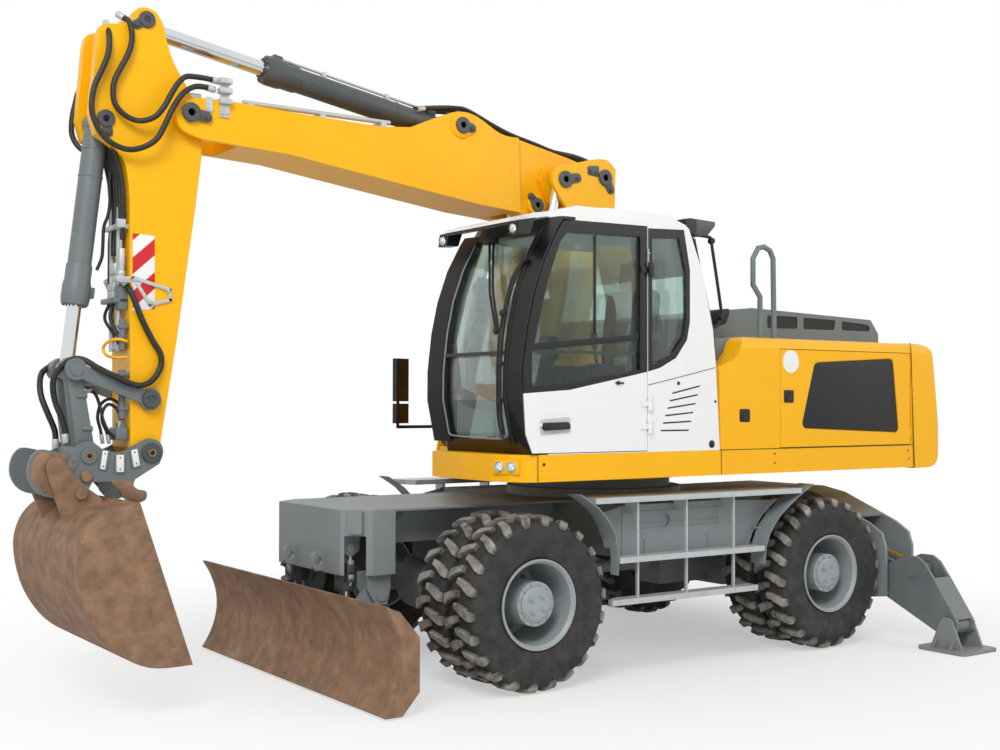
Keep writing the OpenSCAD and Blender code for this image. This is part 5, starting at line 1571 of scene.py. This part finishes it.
@dataclass
class Cab:
    """Seat, controls and outer fittings of the cab."""

    inner_y: float = 0.320

    @property
    def middle(self) -> float:
        """Middle of the cab across the machine."""
        return (self.inner_y + SIDE_Y) / 2

    def cushion(
        self, name: str, low: Point, high: Point, crown: float, lean: float, materials: Materials
    ) -> bpy.types.Object:
        """Shapes a padded cushion with a piped seam and two sewn channels.

        Args:
            name: Name of the piece.
            low: Lowest corner before it leans.
            high: Highest corner before it leans.
            crown: Height of the bulge of its broad face.
            lean: Turn about the y axis in radians.
            materials: Materials by slot name.

        Returns:
            The cushion.
        """
        shape = Shape()
        made = bmesh.ops.create_cube(shape.mesh, size=1.0)["verts"]
        edges = list({e for v in made for e in v.link_edges})
        bmesh.ops.subdivide_edges(shape.mesh, edges=edges, cuts=11, use_grid_fill=True)
        size, middle = Vector(high) - Vector(low), (Vector(high) + Vector(low)) / 2
        # The cushion narrows towards its broad faces and corners, bulges in the middle and dips along two seams
        for vert in shape.mesh.verts:
            x, y, z = vert.co * 2
            pull = 1.0 - 0.045 * (z * z) * (0.6 + 0.4 * abs(x * y))
            bulge = (1 - abs(x) ** 2.5) * (1 - abs(y) ** 2.5)
            channel = sum(math.exp(-((y - at) / 0.05) ** 2) for at in (-0.42, 0.42)) * (1 if z > 0 else 0)
            corner = 1.0 - 0.06 * (abs(x) ** 6) * (abs(y) ** 6)
            vert.co = Vector((
                x * size.x / 2 * pull * corner, y * size.y / 2 * pull * corner,
                z * size.z / 2 + (crown * bulge - 0.010 * channel) * (1 if z > 0 else 0.0) * abs(z)
            ))
        bmesh.ops.smooth_vert(
            shape.mesh, verts=shape.mesh.verts[:], factor=0.5, use_axis_x=True, use_axis_y=True, use_axis_z=True
        )
        bmesh.ops.transform(
            shape.mesh, matrix=Matrix.Translation(middle) @ Matrix.Rotation(lean, 4, "Y"), verts=shape.mesh.verts[:]
        )
        piece = shape.finish(name, materials["seat_fabric"], "superstructure", Slot.BLACK, 80)
        soft = piece.modifiers.new("soft", "SUBSURF")
        soft.levels = soft.render_levels = 1
        return piece

    def build(self, materials: Materials) -> None:
        """Builds the cab's pieces.

        Args:
            materials: Materials by slot name.
        """
        self.cushions(materials)
        base = Shape()
        self.seat_frame(base)
        self.controls(base)
        inside = base.finish("cab_seat_and_controls", materials["black_plastic"], "superstructure", Slot.BLACK)
        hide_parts("cab_interior")
        self.outside(materials)

    def cushions(self, materials: Materials) -> None:
        """Builds the padded seat, its back and the head rest.

        Args:
            materials: Materials by slot name.
        """
        middle = self.middle
        seat = self.cushion(
            "seat_cushion", (0.27, middle - 0.24, 1.76), (0.80, middle + 0.24, 1.88), 0.018, 0.0, materials
        )
        back = self.cushion(
            "seat_back", (-0.32, middle - 0.235, -0.055), (0.32, middle + 0.235, 0.055), 0.016, 0.0, materials
        )
        lean = Matrix.Rotation(math.radians(84), 4, "Y")
        turn_mesh(back, Matrix.Translation((0.315, 0.0, 2.20)) @ lean, middle)
        rest = self.cushion(
            "head_rest", (-0.10, middle - 0.13, -0.04), (0.10, middle + 0.13, 0.04), 0.010, 0.0, materials
        )
        turn_mesh(rest, Matrix.Translation((0.265, 0.0, 2.61)) @ lean, middle)

    def seat_frame(self, base: Shape) -> None:
        """Adds the seat's foot with its bellows, the arm rests and their levers.

        Args:
            base: Shape that takes them.
        """
        middle = self.middle
        base.block((0.30, middle - 0.16, 1.481), (0.68, middle + 0.16, 1.56), 0.01)
        for step in range(4):
            low = 1.56 + 0.045 * step
            base.block(
                (0.34 + 0.006 * (step % 2), middle - 0.13, low),
                (0.64 - 0.006 * (step % 2), middle + 0.13, low + 0.043), 0.012
            )
        base.block((0.29, middle - 0.20, 1.735), (0.74, middle + 0.20, 1.765), 0.008)
        for side in (-1, 1):
            y = middle + side * 0.27
            base.block((0.36, y - 0.042, 1.86), (0.90, y + 0.042, 2.00), 0.022)
            base.block((0.42, y - 0.03, 1.60), (0.58, y + 0.03, 1.87), 0.012)
            base.block((0.40, middle + side * 0.15 - 0.02, 1.60), (0.56, middle + side * 0.27 + 0.02, 1.66), 0.008)
            base.tube([(0.82, y, 1.99), (0.84, y, 2.06), (0.845, y, 2.10)], 0.011, 3, 4)
            base.cap(
                (0.845, y, 2.145), (0.1, 0, 1),
                [
                    (0.0, -0.055), (0.016, -0.05), (0.023, -0.02), (0.027, 0.02), (0.024, 0.045), (0.012, 0.055),
                    (0.0, 0.056)
                ],
                20
            )

    def controls(self, base: Shape) -> None:
        """Adds the steering column with its wheel, the screen of the instruments and the pedals.

        Args:
            base: Shape that takes them.
        """
        middle = self.middle
        # Steering column, wheel and its spokes
        foot, top = Vector((1.290, middle, 1.487)), Vector((1.150, middle, 2.080))
        along = (top - foot).normalized()
        base.tube([foot, foot + along * 0.30, foot + along * 0.56], 0.038, 5, 2)
        base.block((1.20, middle - 0.11, 1.481), (1.38, middle + 0.11, 1.50), 0.006)
        hub = foot + along * 0.605
        base.cap(hub, along, [(0.0, -0.02), (0.05, -0.02), (0.055, 0.0), (0.045, 0.018), (0.0, 0.022)], 28)
        base.turned(
            hub, along,
            [(0.172 + 0.014 * math.cos(a), 0.014 * math.sin(a)) for a in [math.tau * i / 12 for i in range(12)]], 48
        )
        for turn in (0.3, 2.4, 4.5):
            out = Matrix.Rotation(turn, 3, along) @ along.orthogonal().normalized()
            base.tube([hub + out * 0.04, hub + out * 0.168], 0.009, 3, 1)
        # Screen of the instruments on its post, and the pedals
        base.block(
            (1.24, middle + 0.245, 1.98), (1.275, middle + 0.375, 2.16), 0.008, Euler((0, -0.25, 0.3)).to_matrix()
        )
        base.tube([
            (1.30, middle + 0.30, 1.56), (1.30, middle + 0.305, 1.80), (1.27, middle + 0.31, 2.00)
        ], 0.014, 3, 4)
        for y in (-0.07, 0.07):
            base.block(
                (1.32, middle + y - 0.045, 1.50), (1.42, middle + y + 0.045, 1.515), 0.004,
                Euler((0, -0.5, 0)).to_matrix()
            )

    def outside(self, materials: Materials) -> None:
        """Adds the wipers, the frame of the windscreen, the trim of door and skirt, the lamps and the mirror.

        Args:
            materials: Materials by slot name.
        """
        self.wipers(materials)
        self.windscreen_frame(materials)
        self.door_trim(materials)
        self.door_handle(materials)
        self.lamps(materials)
        self.skirt_trim(materials)
        self.rear_mirror(materials)

    def wipers(self, materials: Materials) -> None:
        """Hangs the two wiper arms from the header and lays the blade along the near pillar.

        Args:
            materials: Materials by slot name.
        """
        wipers = Shape()
        for line, radius in (
            ([
                (1.350, 0.609, 2.800), (1.436, 0.733, 2.680), (1.535, 0.881, 2.446), (1.571, 0.964, 2.312),
                (1.597, 1.038, 2.195)
            ], 0.008),
            ([
                (1.354, 0.667, 2.795), (1.438, 0.775, 2.676), (1.536, 0.917, 2.443), (1.572, 0.997, 2.310),
                (1.598, 1.065, 2.187)
            ], 0.008),
            ([
                (1.459, 1.160, 2.639), (1.500, 1.129, 2.542), (1.541, 1.112, 2.430), (1.582, 1.110, 2.261),
                (1.612, 1.115, 2.066), (1.622, 1.118, 1.900), (1.615, 1.112, 1.707), (1.583, 1.106, 1.555)
            ], 0.010),
            ([
                (1.470, 1.150, 2.627), (1.520, 1.098, 2.503), (1.562, 1.098, 2.373), (1.603, 1.088, 2.178),
                (1.626, 1.096, 1.983), (1.622, 1.092, 1.707), (1.592, 1.085, 1.570), (1.588, 1.125, 1.514)
            ], 0.007),
        ):
            wipers.tube(line, radius, 2, 4)
        # Rubber lip of the blade, its clips, and the drive under the header
        wipers.tube([
            (1.592, 1.100, 2.150), (1.606, 1.102, 2.000), (1.608, 1.102, 1.850), (1.597, 1.098, 1.690)
        ], 0.006, 1, 4)
        for place in (
            (1.602, 1.050, 2.185), (1.590, 1.100, 2.290), (1.470, 1.150, 2.620), (1.618, 1.105, 1.985),
            (1.616, 1.100, 1.760)
        ):
            wipers.cap(
                place, (1, 0, 0.15), [(0.0, -0.016), (0.020, -0.016), (0.024, 0.0), (0.018, 0.014), (0.0, 0.016)],
                18
            )
        wipers.block((1.335, 0.58, 2.765), (1.375, 0.70, 2.815), 0.008)
        wipers.finish("wipers", materials["black_plastic"], "superstructure", Slot.BLACK)

    def windscreen_frame(self, materials: Materials) -> None:
        """Lays the moulded black frame with its light lip along the edges of the windscreen.

        Args:
            materials: Materials by slot name.
        """
        frame, lip = Shape(), Shape()
        heights = [
            1.500, 1.560, 1.650, 1.765, 1.860, 1.950, 2.070, 2.190, 2.300, 2.400, 2.510, 2.610, 2.700, 2.780, 2.840
        ]
        for far, near, out in ((0.296, 0.448, 0.036), (1.128, 1.150, 0.020)):
            rows = []
            for z in heights:
                x = self.screen(z) + 0.022
                ends = (
                    (far, x - 0.06), (far, x + out - 0.012), (far + 0.012, x + out), (near - 0.02, x + 0.012),
                    (near, x + 0.002), (near, x - 0.03)
                )
                rows.append([frame.mesh.verts.new((across, y, z)) for y, across in ends])
            for low, high in zip(rows, rows[1:]):
                for i in range(len(low)):
                    k = (i + 1) % len(low)
                    frame.mesh.faces.new((low[i], low[k], high[k], high[i]))
            for row in (rows[0], rows[-1]):
                frame.mesh.faces.new(row)
        for y in (0.452, 1.125):
            lip.tube([(self.screen(z) + 0.026, y, z) for z in heights[1:-1]], 0.0055, 2, 2)
        lip.tube([
            (self.screen(1.562) + 0.026, 0.452, 1.562), (self.screen(1.540) + 0.028, 0.50, 1.538),
            (1.553, 0.80, 1.530), (1.553, 1.05, 1.532), (self.screen(1.562) + 0.026, 1.125, 1.562)
        ], 0.0055, 2, 5)
        frame.finish("windscreen_frame", materials["black_plastic"], "superstructure", Slot.BLACK)
        lip.finish("windscreen_lip", materials["frame_grey"], "superstructure", Slot.FRAME)

    def door_trim(self, materials: Materials) -> None:
        """Adds what the door and the panel behind it carry.

        Args:
            materials: Materials by slot name.
        """
        trim = Shape()
        # Bar between the door's two panes and the upright divider of the sliding pane
        trim.side_plate([
            (1.500, 2.062), (0.625, 2.146), (0.625, 2.188), (1.490, 2.103)
        ], SIDE_Y - 0.030, 0.022, 0.003)
        trim.block((0.976, SIDE_Y - 0.026, 2.17), (0.992, SIDE_Y - 0.012, 2.792), 0.002)
        trim.tube([(0.640, SIDE_Y - 0.016, 2.20), (0.640, SIDE_Y - 0.016, 2.780)], 0.006, 2, 1)
        # Lever of the lock in the sill
        trim.block((0.765, SIDE_Y - 0.002, 1.868), (0.832, SIDE_Y + 0.008, 1.879), 0.003)
        trim.drum((0.812, SIDE_Y - 0.002, 1.874), (0.812, SIDE_Y + 0.012, 1.874), 0.012)
        trim.finish("door_bars", materials["black_plastic"], "cab_door", Slot.BLACK)
        plugs = Shape()
        for x, z, radius in ((0.299, 1.877, 0.012), (0.002, 1.477, 0.026), (-0.030, 1.759, 0.009)):
            plugs.cap(
                (x, SIDE_Y - 0.002, z), (0, 1, 0),
                [(0.0, 0.0), (radius, 0.0), (radius, 0.004), (radius * 0.7, 0.008), (0.0, 0.009)], 20
            )
        # Seam between the panel and the cab's corner, and a painted shadow in each louvre
        plugs.tube([
            (0.560, SIDE_Y + 0.0005, 1.863), (0.299, SIDE_Y + 0.0005, 1.915), (-0.030, SIDE_Y + 0.0005, 1.984)
        ], 0.0022, 1, 1)
        for row in range(6):
            left, right = 0.105 + 0.020 * row, 0.352 + 0.020 * row
            low, high = 1.861 - 0.058 * row, 1.811 - 0.048 * row
            plugs.tube([(left + 0.006, SIDE_Y - 0.004, low), (right - 0.006, SIDE_Y - 0.004, high)], 0.0042, 1, 1)
        plugs.finish("cab_side_plugs_and_louvre_shadows", materials["black_plastic"], "superstructure", Slot.BLACK)
        hinges = Shape()
        hinges.block((0.5590, SIDE_Y + 0.001, 2.603), (0.5650, SIDE_Y + 0.010, 2.735), 0.002)
        for z in (2.630, 2.705):
            hinges.bolt((0.5620, SIDE_Y + 0.010, z), (0, 1, 0), 0.006)
        hinges.finish("hinge_plate", materials["step"], "superstructure", Slot.STEP)

    def door_handle(self, materials: Materials) -> None:
        """Lays a grey sheet of painted shade for the dished recess of the door and sets the handle with its lock on
        it.

        Args:
            materials: Materials by slot name.
        """
        handle = Shape()
        # The flat grey sheet is the painted shade of the recess
        handle.side_plate(rounded([
            (1.187, 1.566), (1.418, 1.550), (1.425, 1.648), (1.187, 1.664)
        ], 0.022), SIDE_Y - 0.0010, 0.0022, 0.001)
        handle.finish("handle_recess", materials["recess_grey"], "cab_door", Slot.WHITE)
        handle = Shape()
        handle.side_plate(rounded([
            (1.200, 1.588), (1.405, 1.580), (1.412, 1.628), (1.210, 1.632)
        ], 0.016), SIDE_Y + 0.004, 0.020, 0.005)
        for x in (1.222, 1.392):
            handle.block((x - 0.014, SIDE_Y - 0.001, 1.592), (x + 0.014, SIDE_Y + 0.010, 1.620), 0.004)
        handle.cap(
            (1.372, SIDE_Y + 0.020, 1.607), (0, 1, 0),
            [(0.0, 0.0), (0.011, 0.0), (0.011, 0.007), (0.008, 0.009), (0.0, 0.009)], 20
        )
        handle.finish("door_handle", materials["black_plastic"], "cab_door", Slot.BLACK)

    def lamps(self, materials: Materials) -> None:
        """Sets rims and lenses into the lamp blocks under the visor.

        Args:
            materials: Materials by slot name.
        """
        lens, rims = Shape(), Shape()
        for y in (0.392, 1.178):
            out = Vector((1.0, 0.25, -0.17)).normalized()
            place = Vector((1.566, y, 2.797))
            rims.cap(
                place, out,
                [(0.0, -0.012), (0.036, -0.012), (0.038, 0.004), (0.030, 0.010), (0.029, 0.004), (0.0, 0.004)], 28
            )
            lens.cap(place, out, [(0.0, 0.0), (0.029, 0.002), (0.027, 0.010), (0.016, 0.015), (0.0, 0.017)], 28)
        rims.finish("lamp_rims", materials["black_plastic"], "superstructure", Slot.BLACK)
        lens.finish("lamp_lenses", materials["lamp_lens"], "superstructure", Slot.GLASS)

    def skirt_trim(self, materials: Materials) -> None:
        """Draws the seams and fixings of the yellow skirt and its pair of headlamps.

        Args:
            materials: Materials by slot name.
        """
        seams = Shape()
        for x in (-0.085, 1.436):
            seams.tube([(x, SIDE_Y + 0.0008, 1.272), (x, SIDE_Y + 0.0008, 1.434)], 0.0024, 1, 1)
        seams.cap(
            (1.390, SIDE_Y - 0.001, 1.376), (0, 1, 0), [(0.0, 0.0), (0.010, 0.0), (0.010, 0.003), (0.0, 0.004)], 16
        )
        seams.finish("skirt_seams", materials["black_plastic"], "superstructure", Slot.BLACK)
        lens, plate, base = Shape(), Shape(), Shape()
        turn = Vector((0.92, 0.39, 0.0)).normalized()
        side = Vector((-turn.y, turn.x, 0.0))
        middle = Vector((1.566, 1.108, 1.362))
        for share in (-0.043, 0.043):
            place = middle + side * share + turn * 0.012
            plate.cap(
                place, turn,
                [(0.0, -0.010), (0.034, -0.010), (0.034, 0.006), (0.029, 0.011), (0.027, 0.004), (0.0, 0.004)], 28
            )
            lens.cap(place, turn, [(0.0, 0.002), (0.027, 0.003), (0.023, 0.009), (0.0, 0.013)], 28)
        corners = []
        for u, v in ((-1, -1), (1, -1), (1, 1), (-1, 1)):
            corners.append(middle + side * 0.092 * u + Vector((0, 0, 0.046 * v)) - turn * 0.022)
        base.plate(corners, turn * 0.034, 0.006)
        base.finish("headlamp_plate", materials["yellow"], "superstructure", Slot.YELLOW)
        plate.finish("headlamp_rims", materials["step"], "superstructure", Slot.STEP)
        lens.finish("headlamp_lenses", materials["lamp_lens"], "superstructure", Slot.GLASS)

    def rear_mirror(self, materials: Materials) -> None:
        """Adds the lamp bracket on the roof's rear corner and the mirror behind the cab.

        Args:
            materials: Materials by slot name.
        """
        wing = Shape()
        wing.plate([
            (0.144, 1.03, 2.975), (-0.090, 1.03, 2.966), (-0.085, 1.03, 2.934), (-0.020, 1.03, 2.870),
            (0.045, 1.03, 2.858), (0.187, 1.03, 2.885)
        ], (0, 0.165, 0), 0.006)
        wing.finish("rear_lamp_bracket", materials["arm_grey"], "superstructure", Slot.ARM)
        mirror = Shape()
        mirror.side_plate(rounded([
            (-0.205, 2.270), (-0.290, 2.290), (-0.330, 2.400), (-0.240, 2.390)
        ], 0.03), 0.94, 0.16, 0.012)
        mirror.tube([
            (0.100, 1.15, 2.872), (-0.060, 1.15, 2.868), (-0.090, 1.15, 2.850), (-0.100, 1.15, 2.800),
            (-0.140, 1.15, 2.605), (-0.182, 1.15, 2.389), (-0.188, 1.15, 2.327), (-0.165, 1.15, 2.290),
            (-0.128, 1.15, 2.263), (-0.060, 1.15, 2.262)
        ], 0.011, 3, 4)
        mirror.tube([(-0.186, 1.150, 2.330), (-0.210, 1.12, 2.330), (-0.240, 1.04, 2.335)], 0.010, 2, 3)
        for place in ((-0.094, 1.15, 2.842), (-0.187, 1.15, 2.330)):
            mirror.cap(place, (0, 1, 0), [(0.0, -0.018), (0.020, -0.016), (0.020, 0.016), (0.0, 0.018)], 18)
        mirror.finish("rear_mirror", materials["black_plastic"], "superstructure", Slot.BLACK)

    def screen(self, z: float) -> float:
        """Place of the windscreen's outer face along the machine.

        Args:
            z: Height.

        Returns:
            The place.
        """
        line = [
            (1.530, 1.548), (1.765, 1.597), (1.950, 1.596), (2.190, 1.568), (2.400, 1.522), (2.610, 1.445),
            (2.780, 1.350), (3.0, 1.20)
        ]
        for (z0, x0), (z1, x1) in zip(line, line[1:]):
            if z <= z1:
                return x0 + (x1 - x0) * (z - z0) / (z1 - z0) - 0.022
        return line[-1][1]


def turn_mesh(piece: bpy.types.Object, matrix: Matrix, middle: float) -> None:
    """Turns a piece's mesh about its own middle plane, with its place kept in the mesh.

    Args:
        piece: Piece to turn.
        matrix: Turn and shift in the side view.
        middle: Place of its middle plane across the machine.
    """
    shift = Matrix.Translation((0, middle, 0))
    piece.data.transform(shift.inverted())
    piece.data.transform(shift @ matrix)


@dataclass
class HoodTrim:
    """Tail shell, cover sheets, panels, latches, blank sign, air intake and grab loop of the hood."""

    # Heights of the tail shell with the place of its corner and of its middle along the machine
    tail: tuple[tuple[float, float, float], ...] = (
        (1.262, -2.300, -2.440), (1.266, -2.345, -2.490), (1.282, -2.395, -2.532), (1.310, -2.425, -2.545),
        (1.350, -2.438, -2.552), (1.560, -2.442, -2.552), (1.720, -2.428, -2.545), (1.880, -2.408, -2.524),
        (2.040, -2.388, -2.492), (2.110, -2.378, -2.474), (2.150, -2.368, -2.458), (2.176, -2.350, -2.440),
        (2.194, -2.325, -2.415), (2.202, -2.295, -2.380)
    )
    shell_half: float = 1.2508
    shell_steps: int = 56
    # Radius of the shell's corner, and the shares of half the way round at which it starts and ends
    corner: float = 0.09
    corner_start: float = 0.3
    corner_end: float = 0.65
    corner_span: float = 0.35
    # Front edge of the shell at its top, how far it leans back down to the bottom, and over which height
    front: float = -2.060
    front_top: float = 2.2
    front_lean: float = 0.038
    front_height: float = 0.94
    # The sides draw in above this height, by this much at the top, along a steep curve
    crown: float = 2.12
    crown_height: float = 0.082
    crown_inset: float = 0.066
    crown_power: float = 2.6

    def tail_shell(self, materials: Materials) -> None:
        """Lays the smooth outer shell of the counterweight over its casting, and the seams of the hood.

        Args:
            materials: Materials by slot name.
        """
        shell = Shape()
        levels = len(self.tail)
        grid = bmesh.ops.create_grid(shell.mesh, x_segments=self.shell_steps, y_segments=levels - 1, size=1.0)
        made = grid["verts"]
        rows: dict[int, list] = {level: [] for level in range(levels)}
        for vert in made:
            u = (vert.co.x + 1) / 2
            level = round((vert.co.y + 1) / 2 * (levels - 1))
            rows[level].append((u, vert))
            vert.co = self.tail_point(u, *self.tail[level])
        for level in (0, levels - 1):
            shell.mesh.faces.new([vert for _, vert in sorted(rows[level], key=lambda pair: pair[0])])
        shell.finish("counterweight_shell", materials["yellow"], "superstructure", Slot.YELLOW, 50.0)
        seam = Shape()
        for side in (1, -1):
            seam.tube([
                (-2.057, side * 1.2325, 2.196), (-2.058, side * 1.2512, 2.165), (-2.073, side * 1.2512, 1.80),
                (-2.095, side * 1.2512, 1.280)
            ], 0.0026, 1, 3)
            seam.tube([(-0.070, side * 1.2506, 1.4365), (-2.085, side * 1.2506, 1.4365)], 0.0026, 1, 1)
            for x, z in ((-0.594, 1.400), (-0.593, 1.338), (-2.022, 1.395), (-2.031, 1.333)):
                seam.cap(
                    (x, side * 1.250, z), (0, side, 0), [(0.0, 0.0), (0.007, 0.0), (0.006, 0.003), (0.0, 0.004)], 12
                )
        seam.finish("hood_seams", materials["black_plastic"], "superstructure", Slot.BLACK)

    def tail_point(self, u: float, z: float, corner: float, middle: float) -> Vector:
        """Point of the tail shell, from one side round the back to the other.

        Args:
            u: Share of the way round, 0 to 1.
            z: Height.
            corner: Place of the corner along the machine.
            middle: Place of the back's middle along the machine.

        Returns:
            The point.
        """
        side = 1.0 if u < 0.5 else -1.0
        u = min(u, 1 - u) * 2
        rise = max(0.0, z - self.crown) / self.crown_height
        half = self.shell_half - self.crown_inset * rise ** self.crown_power
        first = self.front - self.front_lean * (self.front_top - z) / self.front_height
        radius = self.corner
        if u < self.corner_start:
            return Vector((first + (corner + radius - first) * u / self.corner_start, side * half, z))
        if u < self.corner_end:
            turn = (u - self.corner_start) / self.corner_span * math.pi / 2
            return Vector((
                corner + radius - radius * math.sin(turn), side * (half - radius + radius * math.cos(turn)), z
            ))
        y = (half - radius) * (1 - (u - self.corner_end) / self.corner_span)
        return Vector((middle + (corner - middle) * (y / (half - radius)) ** 2, side * y, z))

    def cover_sides(self, materials: Materials) -> None:
        """Puts the pierced side sheets with their dark mesh on the cover of the engine bay.

        Args:
            materials: Materials by slot name.
        """
        outline = [
            (-0.394, 2.206), (-0.394, 2.368), (-0.422, 2.398), (-0.787, 2.434), (-2.080, 2.395), (-2.170, 2.289),
            (-2.170, 2.214)
        ]
        holes = [
            [(-0.936, 2.294), (-0.934, 2.388), (-1.256, 2.388), (-1.254, 2.300)],
            [(-1.319, 2.300), (-1.317, 2.386), (-1.674, 2.378), (-1.662, 2.304)],
            [(-1.744, 2.306), (-1.742, 2.374), (-2.020, 2.360), (-2.076, 2.342), (-2.068, 2.306)]
        ]
        sheet, mesh = Shape(), Shape()
        for side in (1, -1):
            edges = []
            for loop in [rounded(outline, 0.012)] + [rounded(hole, 0.022) for hole in holes]:
                verts = [sheet.mesh.verts.new((x, side * 0.8505, z)) for x, z in loop]
                edges += [sheet.mesh.edges.new((a, b)) for a, b in zip(verts, verts[1:] + verts[:1])]
            filled = bmesh.ops.triangle_fill(sheet.mesh, edges=edges, use_beauty=True)["geom"]
            faces = [g for g in filled if isinstance(g, bmesh.types.BMFace)]
            pushed = bmesh.ops.extrude_face_region(sheet.mesh, geom=faces)["geom"]
            outer = [g for g in pushed if isinstance(g, bmesh.types.BMVert)]
            bmesh.ops.translate(sheet.mesh, vec=(0, side * 0.007, 0), verts=outer)
            for hole in holes:
                low_x, high_x = min(x for x, _ in hole) - 0.01, max(x for x, _ in hole) + 0.01
                mesh.side_plate([
                    (low_x, 2.285), (high_x, 2.285), (high_x, 2.392), (low_x, 2.392)
                ], side * 0.8502, side * 0.002)
        sheet.finish("cover_side_sheets", materials["cover_grey"], "hood_lid", Slot.ARM)
        mesh.finish("cover_side_mesh", materials["black_plastic"], "hood_lid", Slot.BLACK)

    def build(self, materials: Materials) -> None:
        """Builds the hood's trim on both sides.

        Args:
            materials: Materials by slot name.
        """
        self.tail_shell(materials)
        self.cover_sides(materials)
        for side, body in ((1, "hood_door_left"), (-1, "hood_door_right")):
            face = side * SIDE_Y
            panel = Shape()
            outline = rounded([(-0.860, 1.575), (-1.003, 2.035), (-1.851, 2.080), (-1.915, 1.533)], 0.045)
            panel.side_plate(outline, face - side * 0.0085, side * 0.005, 0.002)
            panel.finish("hood_panel_" + body, materials["black_plastic"], body, Slot.BLACK)
            self.latch("hood_latch_" + body, -0.733, 1.796, side, body, materials)
            self.latch(
                "hood_latch_front_" + ("left" if side > 0 else "right"), -0.304, 1.665, side, "superstructure",
                materials
            )
        sign = Shape()
        sign.cap(
            (-0.756, SIDE_Y, 2.038), (0, 1, 0), [(0.0, -0.001), (0.080, -0.001), (0.080, 0.0015), (0.0, 0.0015)], 48
        )
        sign.finish("blank_round_sign", materials["white"], "hood_door_left", Slot.WHITE)
        intake = Shape()
        intake.block((-0.334, 0.436, 1.955), (-0.086, 1.094, 2.194), 0.01)
        intake.finish("air_intake", materials["cover_grey"], "superstructure", Slot.ARM)
        loop = Shape()
        loop.tube([
            (-0.556, 1.15, 2.199), (-0.557, 1.15, 2.486), (-0.489, 1.15, 2.566), (-0.489, 1.15, 2.750),
            (-0.540, 1.15, 2.825), (-0.597, 1.15, 2.837), (-0.655, 1.15, 2.815), (-0.687, 1.15, 2.760),
            (-0.695, 1.15, 2.199)
        ], 0.0188, 6, 1)
        for x in (-0.556, -0.695):
            loop.drum((x, 1.15, 2.199), (x, 1.15, 2.206), 0.036, bevel=0.002)
        loop.finish("grab_loop", materials["cover_grey"], "superstructure", Slot.ARM, 60.0)

    def latch(self, name: str, x: float, z: float, side: int, body: str, materials: Materials) -> None:
        """Sets a flush latch with its dished paddle into the hood's side.

        Args:
            name: Name of the piece.
            x: Its place along the machine.
            z: Its height.
            side: 1 on the left, -1 on the right.
            body: Body that it rides on.
            materials: Materials by slot name.
        """
        piece = Shape()
        face = side * SIDE_Y
        piece.side_plate(
            rectangle((x - 0.048, z - 0.044), (x + 0.048, z + 0.044), 0.014), face - side * 0.001, side * 0.006,
            0.0025
        )
        piece.side_plate(
            rectangle((x - 0.028, z - 0.030), (x + 0.028, z + 0.012), 0.006), face + side * 0.003, side * 0.007,
            0.002
        )
        piece.side_plate(
            capsule((x - 0.016, z + 0.026), (x + 0.016, z + 0.026), 0.006), face + side * 0.003, side * 0.006, 0.001
        )
        piece.finish(name, materials["black_plastic"], body, Slot.BLACK)


def arrange(materials: Materials) -> None:
    """Builds all sub-assemblies in order.

    Args:
        materials: Materials by slot name.
    """
    for assembly in (Wheels(), ArmLines(), ArmTrim(), *cylinders(), Cab(), HoodTrim()):
        LOG.info("building %s", type(assembly).__name__)
        assembly.build(materials)


# Nodes whose finish differs from the plain one of their slot. The legs take the mid grey as painted shade,
# and the coupler, levers, link and bucket barrel take it partly as a painted highlight
NODE_FINISHES = {
    "leg_l": "grey_painted_light_and_shade", "leg_r": "grey_painted_light_and_shade", "top_cover": "cover_grey", "coupler": "grey_painted_light_and_shade",
    "levers": "grey_painted_light_and_shade", "link": "grey_painted_light_and_shade", "bucket_barrel": "grey_painted_light_and_shade", "boom_pipes": "step",
    "stick_pipes": "step"
}


def dress_solids(frame: dict, materials: Materials) -> None:
    """Gives every solid the material of its slot.

    Args:
        frame: The loaded frame.
        materials: Material of each slot name.
    """
    slots = {part["node"]: part["material_slot"] for part in frame["record"]["subparts"]}
    for name, solid in frame["nodes"].items():
        data = solid.data
        if not data.materials:
            data.materials.append(None)
        for index in range(len(data.materials)):
            data.materials[index] = materials[NODE_FINISHES.get(name, slots[name])]
        LOG.info("dressed %s", name)


def main() -> None:
    """Builds the scene."""
    logging.basicConfig(level=logging.WARNING)
    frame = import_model()
    bpy.context.scene.view_settings.view_transform = "Standard"
    materials = {slot.value: finish.make() for slot, finish in FINISHES.items()}
    materials |= {name: finish.make() for name, finish in MORE_FINISHES.items()}
    dress_solids(frame, materials)
    arrange(materials)
    studio = Studio()
    studio.floor()
    studio.lights()
    studio.camera()


if __name__ == "__main__":
    main()
